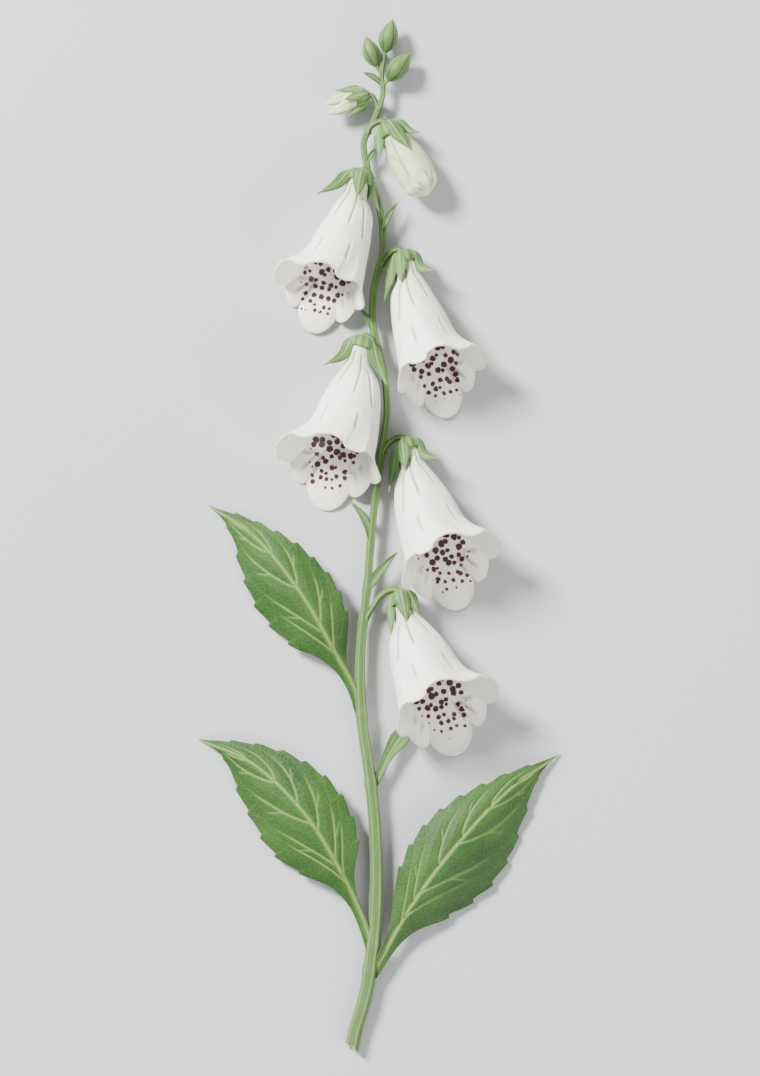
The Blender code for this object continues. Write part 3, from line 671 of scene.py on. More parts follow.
# A bell is measured along its axis from the tip of the calyx, and round it in degrees:
# 0 away from the stem, 90 up, 180 to the stem, 270 to the ground.
bell = {
    "columns": 216,
    "rows": 80,
    "neckLength": 9.0,
    "neckShare": 2.0 / 9.0,
    "neck": [(2.1, 2.2), (3.8, 2.85), (7.0, 2.95), (9.0, 3.25)],
    "tube": [(0.0, 3.25), (0.14, 6.2), (0.3, 8.1), (0.5, 9.5), (0.75, 10.7), (1.0, 12.2)],
    "flareStart": 0.6,
    "flareDepth": 4.1,
    "flarePower": 2.4,
    "flareLessAbove": 0.7,
    # how far the lip reaches by angle to each side of the middle of the lower lip
    "lipTurn": 262.0,
    "lipReach": [
        (-8.0, 47.5), (0.0, 47.7), (8.0, 47.5), (17.0, 46.5), (25.0, 45.0), (38.0, 43.7), (50.0, 41.3),
        (62.0, 41.3), (74.0, 41.3), (90.0, 39.9), (106.0, 38.3), (123.0, 37.3), (142.0, 37.3), (180.0, 37.4),
    ],
    # lobes by angle from the same place: middle, half width, height
    "lobes": [
        (0.0, 24.0, 4.6),
        (37.0, 12.5, 2.4),
        (-37.0, 12.5, 2.4),
        (80.0, 31.0, 1.1),
        (-80.0, 31.0, 1.1),
        (146.0, 14.0, 0.9),
        (-146.0, 14.0, 1.1),
    ],
    "upperNotch": (180.0, 30.0, 1.9),
    # how much shorter the lip that faces the viewer is
    "nearLipShort": {"flower_4": 0.6, "flower_5": 1.8},
    # the outer shoulder below the calyx: height, where, how long, angle
    "shoulder": (1.25, 8.0, 4.2, 15.0),
    "sideShift": 2.0,
    "shiftIn": 14.0,
    "shiftOut": (30.0, 39.0),
    "groundSoftness": 0.8,
    "ground": 0.02,
    "thickness": 0.5,
    "lipRound": 0.17,
    "lipRoundAngle": 50.0,
    # long ridges: angle and share where each starts, angle and share where it ends, strength;
    # one that ends past 1 runs out over the lip
    "folds": [
        (51.0, 0.08, 44.0, 0.49, 1.0),
        (89.0, 0.12, 89.0, 0.57, 1.0),
        (114.0, 0.25, 133.0, 0.63, 1.0),
        (47.0, 0.64, 44.0, 0.86, 0.9),
        (107.0, 0.66, 106.0, 0.86, 0.9),
        (14.0, 0.26, 8.0, 0.60, 0.5),
        (165.0, 0.30, 170.0, 0.70, 0.6),
        (205.0, 0.26, 208.0, 0.62, 0.5),
        (235.0, 0.22, 236.0, 0.70, 0.5),
        (262.0, 0.30, 262.0, 0.72, 0.5),
        (300.0, 0.22, 297.0, 0.70, 0.5),
        (335.0, 0.26, 338.0, 0.66, 0.5),
        (296.0, 0.78, 315.0, 0.93, 0.9),
        (291.0, 0.78, 303.0, 0.96, 1.0),
        (282.0, 0.76, 284.0, 0.95, 1.0),
        (219.0, 0.83, 215.0, 0.93, 0.9),
        (227.0, 0.84, 222.0, 0.95, 0.8),
        (265.0, 0.962, 265.0, 0.992, 0.9),
        (288.0, 0.94, 288.0, 1.1, 1.0),
        (237.0, 0.94, 237.0, 1.1, 1.0),
    ],
    "foldWidth": 0.34,
    "foldFades": (0.05, 0.06),
    "foldDepth": 0.36,
    # waves round the bell, which grow towards the lip
    "waves": (5.0, 9.0),
    "waviness": 0.175,
}

# calyx tip, lean from straight down, rise of the axis, length and width, offset of the spots
flowers = {
    "flower_1": ((-5.0, 111.4, 5.5), -20.0, 10.5, 0.95, 0.90, (3.0, 11.0)),
    "flower_2": ((7.0, 86.9, 5.0), 18.0, 11.0, 0.965, 0.90, (41.0, 5.0)),
    "flower_3": ((-4.4, 61.0, 5.0), -16.0, 12.0, 0.99, 1.02, (17.0, 23.0)),
    "flower_4": ((7.8, 30.0, 5.0), 20.5, 12.0, 1.0, 1.0, (58.0, 31.0)),
    "flower_5": ((6.0, -16.2, 4.9), 22.5, 12.0, 0.97, 1.04, (29.0, 47.0)),
}
stalks = {
    "flower_1": [(-2.4, 108.6, 3.6), (-3.0, 110.6, 4.9), (-4.6, 111.4, 5.6)],
    "flower_2": [(0.6, 82.6, 3.9), (2.6, 85.2, 4.5), (5.0, 87.0, 5.0), (6.8, 87.0, 5.2)],
    "flower_3": [(-0.9, 58.0, 3.8), (-2.2, 60.3, 4.8), (-4.1, 60.9, 5.2)],
    "flower_4": [(0.8, 25.4, 3.8), (3.0, 28.5, 4.5), (5.6, 30.1, 5.0), (7.6, 30.1, 5.2)],
    "flower_5": [
        (-4.6, -25.5, 3.8), (-2.0, -21.5, 4.2), (0.8, -17.6, 4.6), (3.6, -16.1, 4.9), (5.8, -16.1, 5.1),
    ],
}


# Rows are away from the stem, up and along the axis.
def bellFrame(lean, rise):
    lean, rise = math.radians(lean), math.radians(rise)
    side = math.copysign(1.0, lean)
    down = np.array([math.sin(lean), -math.cos(lean), 0.0])
    out = np.array([math.cos(lean), math.sin(lean), 0.0]) * side
    along = down * math.cos(rise) + np.array([0.0, 0.0, math.sin(rise)])
    up = np.array([0.0, 0.0, math.cos(rise)]) - down * math.sin(rise)
    return np.array([out, up, along])


# placeOn(angle, radius, along) of a bell, with its gentle bend towards the stem.
def onBell(tip, rows, shift=bell["sideShift"]):
    tip = np.array(tip)

    def placeOn(angle, radius, along):
        back = (along - bell["shiftOut"][0]) / (bell["shiftOut"][1] - bell["shiftOut"][0])
        bend = smoothStep(along / bell["shiftIn"]) * (1.0 - smoothStep(back))
        out = radius * np.cos(np.radians(angle)) - shift * bend
        up = radius * np.sin(np.radians(angle))
        return tip + np.stack([out, up, along + 0.0 * out], axis=-1) @ rows

    return placeOn


def wrapped(angle):
    return (angle + 180.0) % 360.0 - 180.0


def lipReachAt(angle):
    turn = wrapped(angle - bell["lipTurn"])
    reach = curveThrough(bell["lipReach"])(np.abs(turn))
    for middle, half, height in bell["lobes"]:
        off = np.abs(wrapped(turn - middle)) / half
        reach = reach + height * np.sqrt(np.clip(1.0 - off * off, 0.0, 1.0))
    middle, half, depth = bell["upperNotch"]
    off = np.abs(wrapped(turn - middle)) / half
    return reach - depth * np.clip(1.0 - off * off, 0.0, 1.0) ** 2


def restOnGround(points, lift):
    soft = bell["groundSoftness"]
    z = points[:, 2] - lift
    points[:, 2] = 0.5 * (z + np.sqrt(z * z + soft * soft)) + lift
    return points


# How strongly one long fold shows, fading in and out at its ends.
def foldShow(fold, angle, along, radius, width, fadeIn, fadeOut):
    start, low, end, high = fold
    way = np.clip((along - low) / (high - low), 0.0, 1.0)
    off = np.radians(wrapped(angle - (start + (end - start) * way))) * radius
    return smoothStep((along - low) / fadeIn) * smoothStep((high - along) / fadeOut) * hump(off, width)


# Low ribs round a cup or a bud.
def ribsRound(angle):
    return 0.5 + 0.5 * np.cos(np.radians(angle) * 10.0)


def makeBell(name, rows, tip, lean, length, width, spotShift, seed):
    place = onBell(tip, rows)
    neckCurve, tubeCurve = curveThrough(bell["neck"]), curveThrough(bell["tube"])
    neckFrom, neckLength, neckShare = bell["neck"][0][0], bell["neckLength"], bell["neckShare"]
    shoulder, shoulderAt, shoulderLong, shoulderTurn = bell["shoulder"]
    shorter = bell["nearLipShort"].get(name, 0.0)
    flareStart = bell["flareStart"]

    def foldsAt(angle, share, radius):
        total = np.zeros(len(angle))
        for *fold, strength in bell["folds"]:
            total += strength * foldShow(fold, angle, share, radius, bell["foldWidth"], *bell["foldFades"])
        return np.clip(total, 0.0, 1.0)

    def put(a, s):
        angle = a * 180.0 + bell["lipTurn"]
        turn = np.radians(angle)
        upward = np.clip(np.sin(turn), 0.0, 1.0)
        alongNeck = neckFrom + (neckLength - neckFrom) * s / neckShare
        q = np.clip((s - neckShare) / (1.0 - neckShare), 0.0, 1.0)
        lip = lipReachAt(angle) * length - shorter * upward
        radius = tubeCurve(q) * (1.0 + (width - 1.0) * smoothStep(q * 3.0))
        opening = np.clip((q - flareStart) / (1.0 - flareStart), 0.0, 1.0) ** bell["flarePower"]
        radius = radius + bell["flareDepth"] * width * opening * (1.0 - bell["flareLessAbove"] * upward)
        radius = np.where(s <= neckShare, neckCurve(alongNeck), radius)
        along = np.where(s <= neckShare, alongNeck, neckLength + (lip - neckLength) * q)
        outside = np.clip(np.cos(np.radians(angle - shoulderTurn)), 0.0, 1.0)
        radius = radius + shoulder * outside * hump(along - shoulderAt, shoulderLong)
        folds = foldsAt(angle, s, radius)
        few, many = bell["waves"]
        wave = np.sin(turn * few + seed) + 0.6 * np.sin(turn * many + 2.0 * seed + 5.0 * s)
        radius = radius - bell["foldDepth"] * folds + bell["waviness"] * wave * smoothStep((s - 0.35) / 0.6)
        # the folds also go out as marks, which the petal skin darkens with painted shade
        return restOnGround(place(angle, radius, along), bell["ground"]), folds

    bm = bentSheet(bell["columns"], bell["rows"], put)
    axisPoint, axis = Vector(tip) * mm, Vector(rows[2])
    faceTowards(bm, lambda c: (c - axisPoint) - (c - axisPoint).dot(axis) * axis)
    inside = petalInsideMaterial(f"{name}_petalInside", tip, lean, length, spotShift)
    piece = addPiece(f"{name}_bell", bm, [petalOutside, inside], [f"{name}_corolla"])
    addWall(piece, bell["thickness"], insideSlot=1)
    roundEdge(piece, bell["lipRound"], bell["lipRoundAngle"])


# cup: along and radius. sepals: angle, tip along, tip out, half width, how far the blade turns flat,
# and sometimes a bow of their own.
calyx = {
    "cup": [(-0.35, 0.0), (-0.1, 1.3), (0.3, 2.2), (1.2, 3.25), (2.6, 3.9), (4.2, 3.95)],
    "cupColumns": 60,
    "cupRows": 22,
    "sepals": [
        (26.0, 12.6, 11.5, 1.95, 0.85),
        (108.0, 10.6, 5.4, 2.3, 0.3),
        (154.0, 14.2, 10.4, 1.75, 0.8),
        (235.0, 10.6, 5.0, 2.1, 0.0),
        (300.0, 10.6, 5.2, 2.1, 0.0),
    ],
    # sepals that lie otherwise on a flower, by their place in the list
    "otherwise": {
        "flower_1": {
            0: (26.0, 13.4, 13.8, 1.95, 0.85),
            1: (88.0, 10.2, 5.2, 2.2, 0.3),
            2: (170.0, 10.8, 7.4, 1.7, 0.5),
        },
        "flower_2": {0: (30.0, 10.7, 11.0, 1.9, 0.85, 0.65, 0.12), 2: (154.0, 14.2, 8.8, 1.7, 0.7)},
        "flower_3": {
            0: (26.0, 13.4, 12.6, 1.95, 0.85, 0.6, 0.26),
            1: (146.0, 14.2, 10.2, 2.6, 0.7),
            2: (192.0, 9.6, 7.0, 1.5, 0.5),
        },
        "flower_4": {0: (30.0, 11.0, 10.8, 1.9, 0.85, 0.65, 0.12), 2: (154.0, 15.0, 9.2, 1.7, 0.7)},
        "flower_5": {
            0: (44.0, 10.2, 6.2, 2.1, 0.4),
            1: (84.0, 11.2, 5.4, 2.4, 0.3),
            2: (156.0, 12.9, 5.9, 1.5, 0.6),
        },
    },
    "outline": [(0.0, 0.62), (0.2, 0.88), (0.42, 1.0), (0.62, 0.82), (0.8, 0.44), (0.92, 0.17), (1.0, 0.02)],
    "across": 16,
    "along": 34,
    "thickness": 0.4,
    "hollow": 0.4,
    # how far along and how far out a sepal is at three fifths of its length
    "bow": (0.55, 0.32),
    "midRib": 0.2,
    "sideRib": 0.07,
    "ribWidths": (0.3, 0.16),
    "wave": 0.12,
    "lowest": 0.3,
    "stalkRadius": 0.86,
    "stalkColumns": 28,
    "stalkRows": 44,
}


# The three long ribs of a sepal or a bract: the middle one, and the two beside it.
def longRibs(a, s, half, widths, besides):
    middle = hump(a * half, widths[0]) * (1.0 - 0.5 * s)
    sides = besides * hump((np.abs(a) - 0.5) * half, widths[1]) * smoothStep((0.85 - s) / 0.2)
    return middle, sides


def sepalShell(place, rows, sepal, size):
    angle, tipAlong, tipOut, half, turnFlat, *ownBow = sepal
    bowAlong, bowOut = ownBow or calyx["bow"]
    line = curveThrough([
        (0.0, (0.5, 2.6 * size)),
        (0.2, (1.5, 3.75 * size)),
        (0.6, (tipAlong * bowAlong, 4.25 * size + (tipOut - 4.1 * size) * bowOut)),
        (1.0, (tipAlong, tipOut)),
    ])
    outline = curveThrough(calyx["outline"])
    cosine, sine = math.cos(math.radians(angle)), math.sin(math.radians(angle))
    sideways, outward = cosine * rows[1] - sine * rows[0], cosine * rows[0] + sine * rows[1]

    def middle(s):
        alongOut = line(s)
        return place(angle, alongOut[:, 1], alongOut[:, 0])

    def put(a, s):
        ahead = headingOn(middle, s, 0.02)
        flat = unit(np.cross(np.broadcast_to(rows[1], ahead.shape), ahead))
        flat = flat * np.where((flat @ sideways) < 0.0, -1.0, 1.0)[:, None]
        # the blade starts round the cup and turns flat
        share = (turnFlat * smoothStep(s / 0.5))[:, None]
        across = unit(sideways * (1.0 - share) + flat * share)
        normal = unit(np.cross(across, ahead))
        normal = normal * np.where((normal @ outward) < 0.0, -1.0, 1.0)[:, None]
        reach = half * size * outline(s)
        wrap = (1.0 - share[:, 0]) * 0.5 * reach * reach / (3.4 * size)
        hollow = calyx["hollow"] * size * (1.0 - s) + wrap * (1.0 - smoothStep((s - 0.4) / 0.4))
        rib, sides = longRibs(a, s, reach, calyx["ribWidths"], 0.4)
        lift = calyx["midRib"] * rib + calyx["sideRib"] * sides - hollow * a * a
        lift = lift + calyx["wave"] * np.sin(7.0 * s + angle) * a * size
        points = middle(s) + across * (a * reach)[:, None] + normal * lift[:, None]
        points[:, 2] = np.maximum(points[:, 2], calyx["lowest"])
        return points, np.clip(rib + sides, 0.0, 1.0)

    own = bentSheet(calyx["across"], calyx["along"], put)
    return thickShell(own, place(0.0, 0.0, 0.0), calyx["thickness"] * size)


def makeCalyx(name, rows, tip, stalk, sepals, size, shift=bell["sideShift"]):
    place = onBell(tip, rows, shift)
    cupLine = evenCurve(calyx["cup"])

    def cup(a, s):
        alongRadius = cupLine(s)
        ribs = ribsRound(a * 180.0)
        radius = alongRadius[:, 1] * size * (1.0 + 0.05 * ribs * smoothStep(s / 0.4))
        return place(a * 180.0, radius, alongRadius[:, 0]), 0.5 * ribs

    def stalkRadius(s, turn):
        swell = 1.0 + 0.45 * smoothStep((0.22 - s) / 0.22) + 0.5 * smoothStep((s - 0.55) / 0.45)
        return calyx["stalkRadius"] * size ** 0.7 * swell * (1.0 + 0.05 * np.cos(4.0 * turn))

    def stalkMarks(s, turn):
        return 0.4 * (0.5 + 0.5 * np.cos(4.0 * turn))

    own = bentSheet(calyx["cupColumns"], calyx["cupRows"], cup)
    shells = [thickShell(own, place(0.0, 0.0, 1.5), calyx["thickness"] * size)]
    for sepal in sepals:
        shells.append(sepalShell(place, rows, sepal, size))
    # the stalk arches over and turns down into the cup
    top = np.array(tip) - rows[2] * 0.2 * size - rows[0] * 0.5 * size
    foot = np.array(tip) + rows[2] * 1.6 * size
    line = lineThrough([*stalk[:-1], tuple(top), tuple(foot)])
    own = tubeSheet(line, stalkRadius, calyx["stalkColumns"], calyx["stalkRows"], stalkMarks)
    shells.append(closedShell(own))
    addPiece(f"{name}_calyx_skin", joined(shells), [skin["sepalSkin"]], [f"{name}_calyx"])


# ring: along, radius, thickness. feet: angle of each stamen's foot, how far its anther stands
# aside and how far along it is. lobe: half sizes of a pollen sac.
stamens = {
    "ring": (8.2, 1.85, 0.24),
    "feet": [(15.0, -3.7, 22.5), (50.0, -1.9, 28.0), (130.0, 1.9, 28.0), (165.0, 3.7, 22.5)],
    "rise": 5.6,
    "radius": 0.24,
    "lobe": (1.05, 0.62, 0.58),
    "apart": 0.62,
    "spread": 28.0,
    "seam": 0.12,
    "seamWidth": 0.14,
}


def sacShell(centre, turn):
    own = bmesh.new()
    bmesh.ops.create_uvsphere(own, u_segments=24, v_segments=14, radius=mm, calc_uvs=False)
    bmesh.ops.scale(own, vec=stamens["lobe"], verts=own.verts)
    for vert in own.verts:
        if vert.co.z > 0:
            vert.co.z -= stamens["seam"] * mm * hump(vert.co.y, stamens["seamWidth"] * mm)
        vert.co = Vector(centre * mm + np.array(vert.co) @ turn)
    for face in own.faces:
        face.smooth = True
        face.material_index = 1
    bmesh.ops.recalc_face_normals(own, faces=own.faces)
    return own


def makeStamens(name, rows, tip, length, width):
    place = onBell(tip, rows)
    along, ring, cord = stamens["ring"]

    def ringPut(a, s):
        turn = s * math.tau
        return place(a * 180.0, ring + cord * np.cos(turn), along + cord * np.sin(turn)), np.zeros(len(a))

    def radius(s, turn):
        return stamens["radius"] * (1.15 - 0.35 * s)

    shells = [closedShell(bentSheet(36, 10, ringPut))]
    for angle, side, reach in stamens["feet"]:
        start = ring * np.array([math.cos(math.radians(angle)), math.sin(math.radians(angle))])
        end = np.array([-side, stamens["rise"]]) * width
        points = []
        for share in np.linspace(0.0, 1.0, 7):
            rise = start + (end - start) * smoothStep(share * 0.5 + 0.5 * share * share)
            turn = math.degrees(math.atan2(rise[1], rise[0]))
            points.append(place(turn, math.hypot(*rise), along + (reach * length - along) * share))
        shells.append(closedShell(tubeSheet(lineThrough(points), radius, 12, 30)))
        for half in (-1.0, 1.0):
            spread = math.radians(stamens["spread"] * half)
            across = rows[0] * math.cos(spread) + rows[2] * math.sin(spread)
            ahead = -rows[0] * math.sin(spread) + rows[2] * math.cos(spread)
            off = across * stamens["apart"] * half + ahead * math.copysign(0.1, side)
            shells.append(sacShell(points[-1] + off - rows[1] * 0.15, [across, ahead, rows[1]]))
    materials = [skin["filamentSkin"], skin["antherSkin"]]
    addPiece(f"{name}_stamen_set", joined(shells), materials, [f"{name}_stamens"])


# ovary: along and radius. style: up and along.
pistil = {
    "ovary": [(1.5, 0.05), (1.7, 0.85), (3.2, 1.3), (5.6, 0.95), (7.6, 0.42), (8.3, 0.2)],
    "style": [(0.0, 6.5), (0.9, 12.0), (4.0, 19.0), (6.6, 26.0), (7.6, 31.0)],
    "radius": 0.24,
}


def makePistil(name, rows, tip, length, width):
    place = onBell(tip, rows)
    profile = evenCurve(pistil["ovary"])

    def ovary(a, s):
        alongRadius = profile(s)
        groove = 0.92 + 0.08 * np.abs(np.cos(a * math.pi))
        return place(a * 180.0, alongRadius[:, 1] * groove, alongRadius[:, 0]), np.zeros(len(a))

    def radius(s, turn):
        return pistil["radius"] * (1.1 + 0.5 * smoothStep((s - 0.93) / 0.07))

    points = []
    for up, along in pistil["style"]:
        points.append(place(90.0, up * width, along * (length if along > bell["neckLength"] else 1.0)))
    style = tubeSheet(lineThrough(points), radius, 12, 40)
    shells = [closedShell(bentSheet(28, 24, ovary)), closedShell(style)]
    addPiece(f"{name}_pistil_skin", joined(shells), [skin["styleSkin"]], [f"{name}_pistil"])


for index, (flower, values) in enumerate(flowers.items()):
    tip, lean, rise, length, width, spotShift = values
    rows = bellFrame(lean, rise)
    otherwise = calyx["otherwise"][flower]
    sepals = [otherwise.get(number, sepal) for number, sepal in enumerate(calyx["sepals"])]
    makeBell(flower, rows, tip, lean, length, width, spotShift, 1.7 * index)
    makeCalyx(flower, rows, tip, stalks[flower], sepals, 1.0)
    makeStamens(flower, rows, tip, length, width)
    makePistil(flower, rows, tip, length, width)
    print(flower, "made")


rightBud = {
    "tip": (1.8, 126.0, 5.4),
    "lean": 30.0,
    "rise": 3.0,
    "size": 1.0,
    "profile": [
        (1.6, 0.0), (1.9, 1.9), (4.0, 2.9), (8.0, 4.3), (13.5, 5.6), (20.0, 5.45), (24.4, 3.5), (26.1, 0.0),
    ],
    # creases: angle and along where each starts and ends
    "creases": [
        (112.0, 5.0, 113.0, 19.5),
        (130.0, 10.0, 128.0, 13.4),
        (57.0, 19.4, 52.0, 25.2),
        (102.0, 20.6, 90.0, 24.0),
        (127.0, 21.6, 95.0, 25.0),
    ],
    "petals": [],
    "stalk": [(-3.6, 122.6, 4.3), (-2.7, 124.3, 4.8), (-1.0, 125.6, 5.2), (1.5, 126.0, 5.5)],
    "sepals": [
        (22.0, 8.9, 8.1, 1.5, 0.8, 0.63, 0.2),
        (71.0, 11.4, 6.5, 2.4, 0.3),
        (155.0, 9.9, 8.4, 1.6, 0.7),
        (228.0, 9.0, 5.7, 2.0, 0.0),
        (300.0, 9.0, 5.7, 2.0, 0.0),
    ],
    "lobes": 4,
    "lobeTurn": 22.0,
    "lobeDepth": 0.75,
    "lobesFrom": 0.62,
}
leftBud = {
    "tip": (-2.9, 134.2, 5.0),
    "lean": -72.0,
    "rise": 0.0,
    "size": 0.7,
    "profile": [(1.6, 0.0), (1.8, 1.2), (3.4, 1.7), (5.6, 2.5), (7.6, 2.5), (9.3, 1.3), (10.2, 0.0)],
    "creases": [],
    # two pointed petals that lie together: out of the axis, along, radius
    "petals": [
        [(0.6, 4.0, 1.1), (1.3, 8.0, 1.95), (1.45, 11.0, 1.4), (1.35, 13.7, 0.03)],
        [(-0.6, 4.0, 1.1), (-1.35, 8.0, 2.0), (-1.5, 11.2, 1.45), (-1.4, 14.1, 0.03)],
    ],
    "stalk": [(-0.1, 129.6, 4.5), (-1.1, 132.2, 4.8), (-2.0, 133.7, 5.0), (-3.0, 134.2, 5.1)],
    "sepals": [
        (10.0, 9.7, 4.4, 1.9, 0.7),
        (80.0, 8.2, 4.0, 2.2, 0.3),
        (165.0, 8.6, 4.6, 1.9, 0.7),
        (225.0, 8.0, 3.6, 2.0, 0.0),
        (300.0, 8.0, 3.6, 2.0, 0.0),
    ],
    "lobes": 2,
    "lobeTurn": 90.0,
    "lobeDepth": 0.8,
    "lobesFrom": 0.45,
}
budShape = {
    "columns": 120,
    "rows": 70,
    "twist": 26.0,
    "seamWidth": 7.0,
    "seamDepth": 0.16,
    "step": 0.055,
    "creaseWidth": 0.36,
    "creaseFade": 1.2,
    "creaseDepth": 0.2,
    "petalRidge": 0.07,
    "petalColumns": 40,
    "petalRows": 44,
}


def petalShell(place, petal):
    line = lineThrough([
        (*place(0.0 if out > 0.0 else 180.0, abs(out), along), radius) for out, along, radius in petal
    ])

    def ridgeOn(turn):
        return np.abs(np.cos(2.5 * turn)) ** 8

    def radiusAt(s, turn):
        return np.maximum(line(s)[:, 3], 0.02) * (1.0 - budShape["petalRidge"] * ridgeOn(turn))

    # the grooves are marked for painted shade in them
    def marksAt(s, turn):
        return 0.8 * ridgeOn(turn)

    return closedShell(tubeSheet(line, radiusAt, budShape["petalColumns"], budShape["petalRows"], marksAt))


def makeBud(name, bud):
    rows = bellFrame(bud["lean"], bud["rise"])
    place = onBell(bud["tip"], rows, 0.0)
    first, last = bud["profile"][0][0], bud["profile"][-1][0]
    profile = curveThrough(bud["profile"])

    def put(a, s):
        angle = a * 180.0
        bow = 0.5 - 0.5 * np.cos(math.pi * s)
        along = first + (last - first) * bow
        # the ends are round, however the profile runs
        edge = np.sqrt(np.clip(1.0 - ((bow - 0.5) / 0.5) ** 2, 0.0, 1.0))
        radius = np.minimum(np.maximum(profile(along), 0.0), edge * 12.0)
        near = smoothStep((bow - bud["lobesFrom"]) / (1.0 - bud["lobesFrom"]))
        # closed lobes overlap one way round, each with one raised edge
        turn = (angle - bud["lobeTurn"] - budShape["twist"] * near) / 360.0 * bud["lobes"]
        across = turn - np.floor(turn)
        gap = np.minimum(across, 1.0 - across) * 360.0 / bud["lobes"]
        seam = hump(gap, budShape["seamWidth"]) * near
        shape = 1.0 - bud["lobeDepth"] * budShape["seamDepth"] * seam
        shape = shape + budShape["step"] * (across - 0.5) * near + 0.02 * ribsRound(angle) * (1.0 - near)
        creases = np.zeros(len(angle))
        for crease in bud["creases"]:
            fade = budShape["creaseFade"]
            show = foldShow(crease, angle, along, radius, budShape["creaseWidth"], fade, fade)
            creases = np.maximum(creases, show)
        radius = radius * shape - budShape["creaseDepth"] * creases
        # the seams and creases go out as marks, which get painted shade
        return place(angle, radius, along), np.maximum(0.7 * seam, creases)

    shells = [closedShell(bentSheet(budShape["columns"], budShape["rows"], put))]
    for petal in bud["petals"]:
        shells.append(petalShell(place, petal))
    addPiece(f"{name}_body", joined(shells), [skin["drawnBudSkin"]], [f"{name}_petals"])
    makeCalyx(name, rows, bud["tip"], bud["stalk"], bud["sepals"], bud["size"], 0.0)
    print(name, "made")


makeBud("right_bud", rightBud)
makeBud("left_bud", leftBud)


# foot on the stem, foot of the bud, tip, greatest radius, turn of the overlapping sepals
topBuds = {
    "top_bud_middle": ((1.4, 145.0, 4.7), (1.7, 146.6, 4.8), (4.2, 157.12, 5.2), 2.85, 42.0),
    "top_bud_left": ((0.9, 140.8, 4.6), (-0.6, 142.4, 4.7), (-4.1, 152.0, 4.9), 2.6, 40.0),
    "top_bud_right": ((0.9, 136.8, 4.6), (2.4, 138.2, 4.8), (9.5, 146.8, 5.2), 2.9, 46.0),
}
topBudShape = {
    "profile": [
        (0.0, 0.0), (0.05, 0.3), (0.13, 0.56), (0.28, 0.88),
        (0.46, 1.0), (0.7, 0.79), (0.9, 0.31), (1.0, 0.02),
    ],
    "columns": 120,
    "rows": 44,
    "sepals": 5,
    "slim": 0.93,
    "step": 0.16,
    "rib": 0.03,
    "ribWidth": 0.06,
    "creaseWidth": 0.13,
    "twist": 24.0,
    "stalkRadius": 0.58,
    "stalkColumns": 16,
    "stalkRows": 16,
}


def makeTopBud(name, root, foot, tip, radius, turned):
    root, foot, tip = np.array(root), np.array(foot), np.array(tip)
    axis = tip - foot
    ahead = unit(axis)
    side = unit(np.cross(ahead, np.array([0.0, 0.0, 1.0])))
    up = np.cross(side, ahead)
    profile = curveThrough(topBudShape["profile"])

    def put(a, s):
        turn = a * math.pi
        spiral = (a * 180.0 - turned - topBudShape["twist"] * s) / 360.0 * topBudShape["sepals"]
        across = spiral - np.floor(spiral)
        overlap = smoothStep(s / 0.15) * (1.0 - 0.5 * smoothStep((s - 0.85) / 0.15))
        step = topBudShape["step"] * (across - 0.96 * smoothStep((across - 0.93) / 0.07)) * overlap
        rib = topBudShape["rib"] * hump(across - 0.5, topBudShape["ribWidth"])
        # where one sepal laps over the next, marked for painted shade
        crease = hump(np.minimum(across, 1.0 - across), topBudShape["creaseWidth"]) * overlap
        reach = radius * np.maximum(profile(s), 0.0) * (topBudShape["slim"] + step + rib)
        points = foot + axis * s[:, None]
        points = points + side * (np.cos(turn) * reach)[:, None] + up * (np.sin(turn) * reach)[:, None]
        return points, crease

    def stalkRadius(s, turn):
        return topBudShape["stalkRadius"] * (1.25 - 0.25 * np.sin(math.pi * s))

    line = lineThrough([root, (root + foot) / 2.0, foot + axis * 0.12])
    stalk = tubeSheet(line, stalkRadius, topBudShape["stalkColumns"], topBudShape["stalkRows"])
    body = bentSheet(topBudShape["columns"], topBudShape["rows"], put)
    shells = [closedShell(body), closedShell(stalk)]
    addPiece(f"{name}_body", joined(shells), [skin["tightBudSkin"]], [name])


for bud, values in topBuds.items():
    makeTopBud(bud, *values)
print("top buds made")


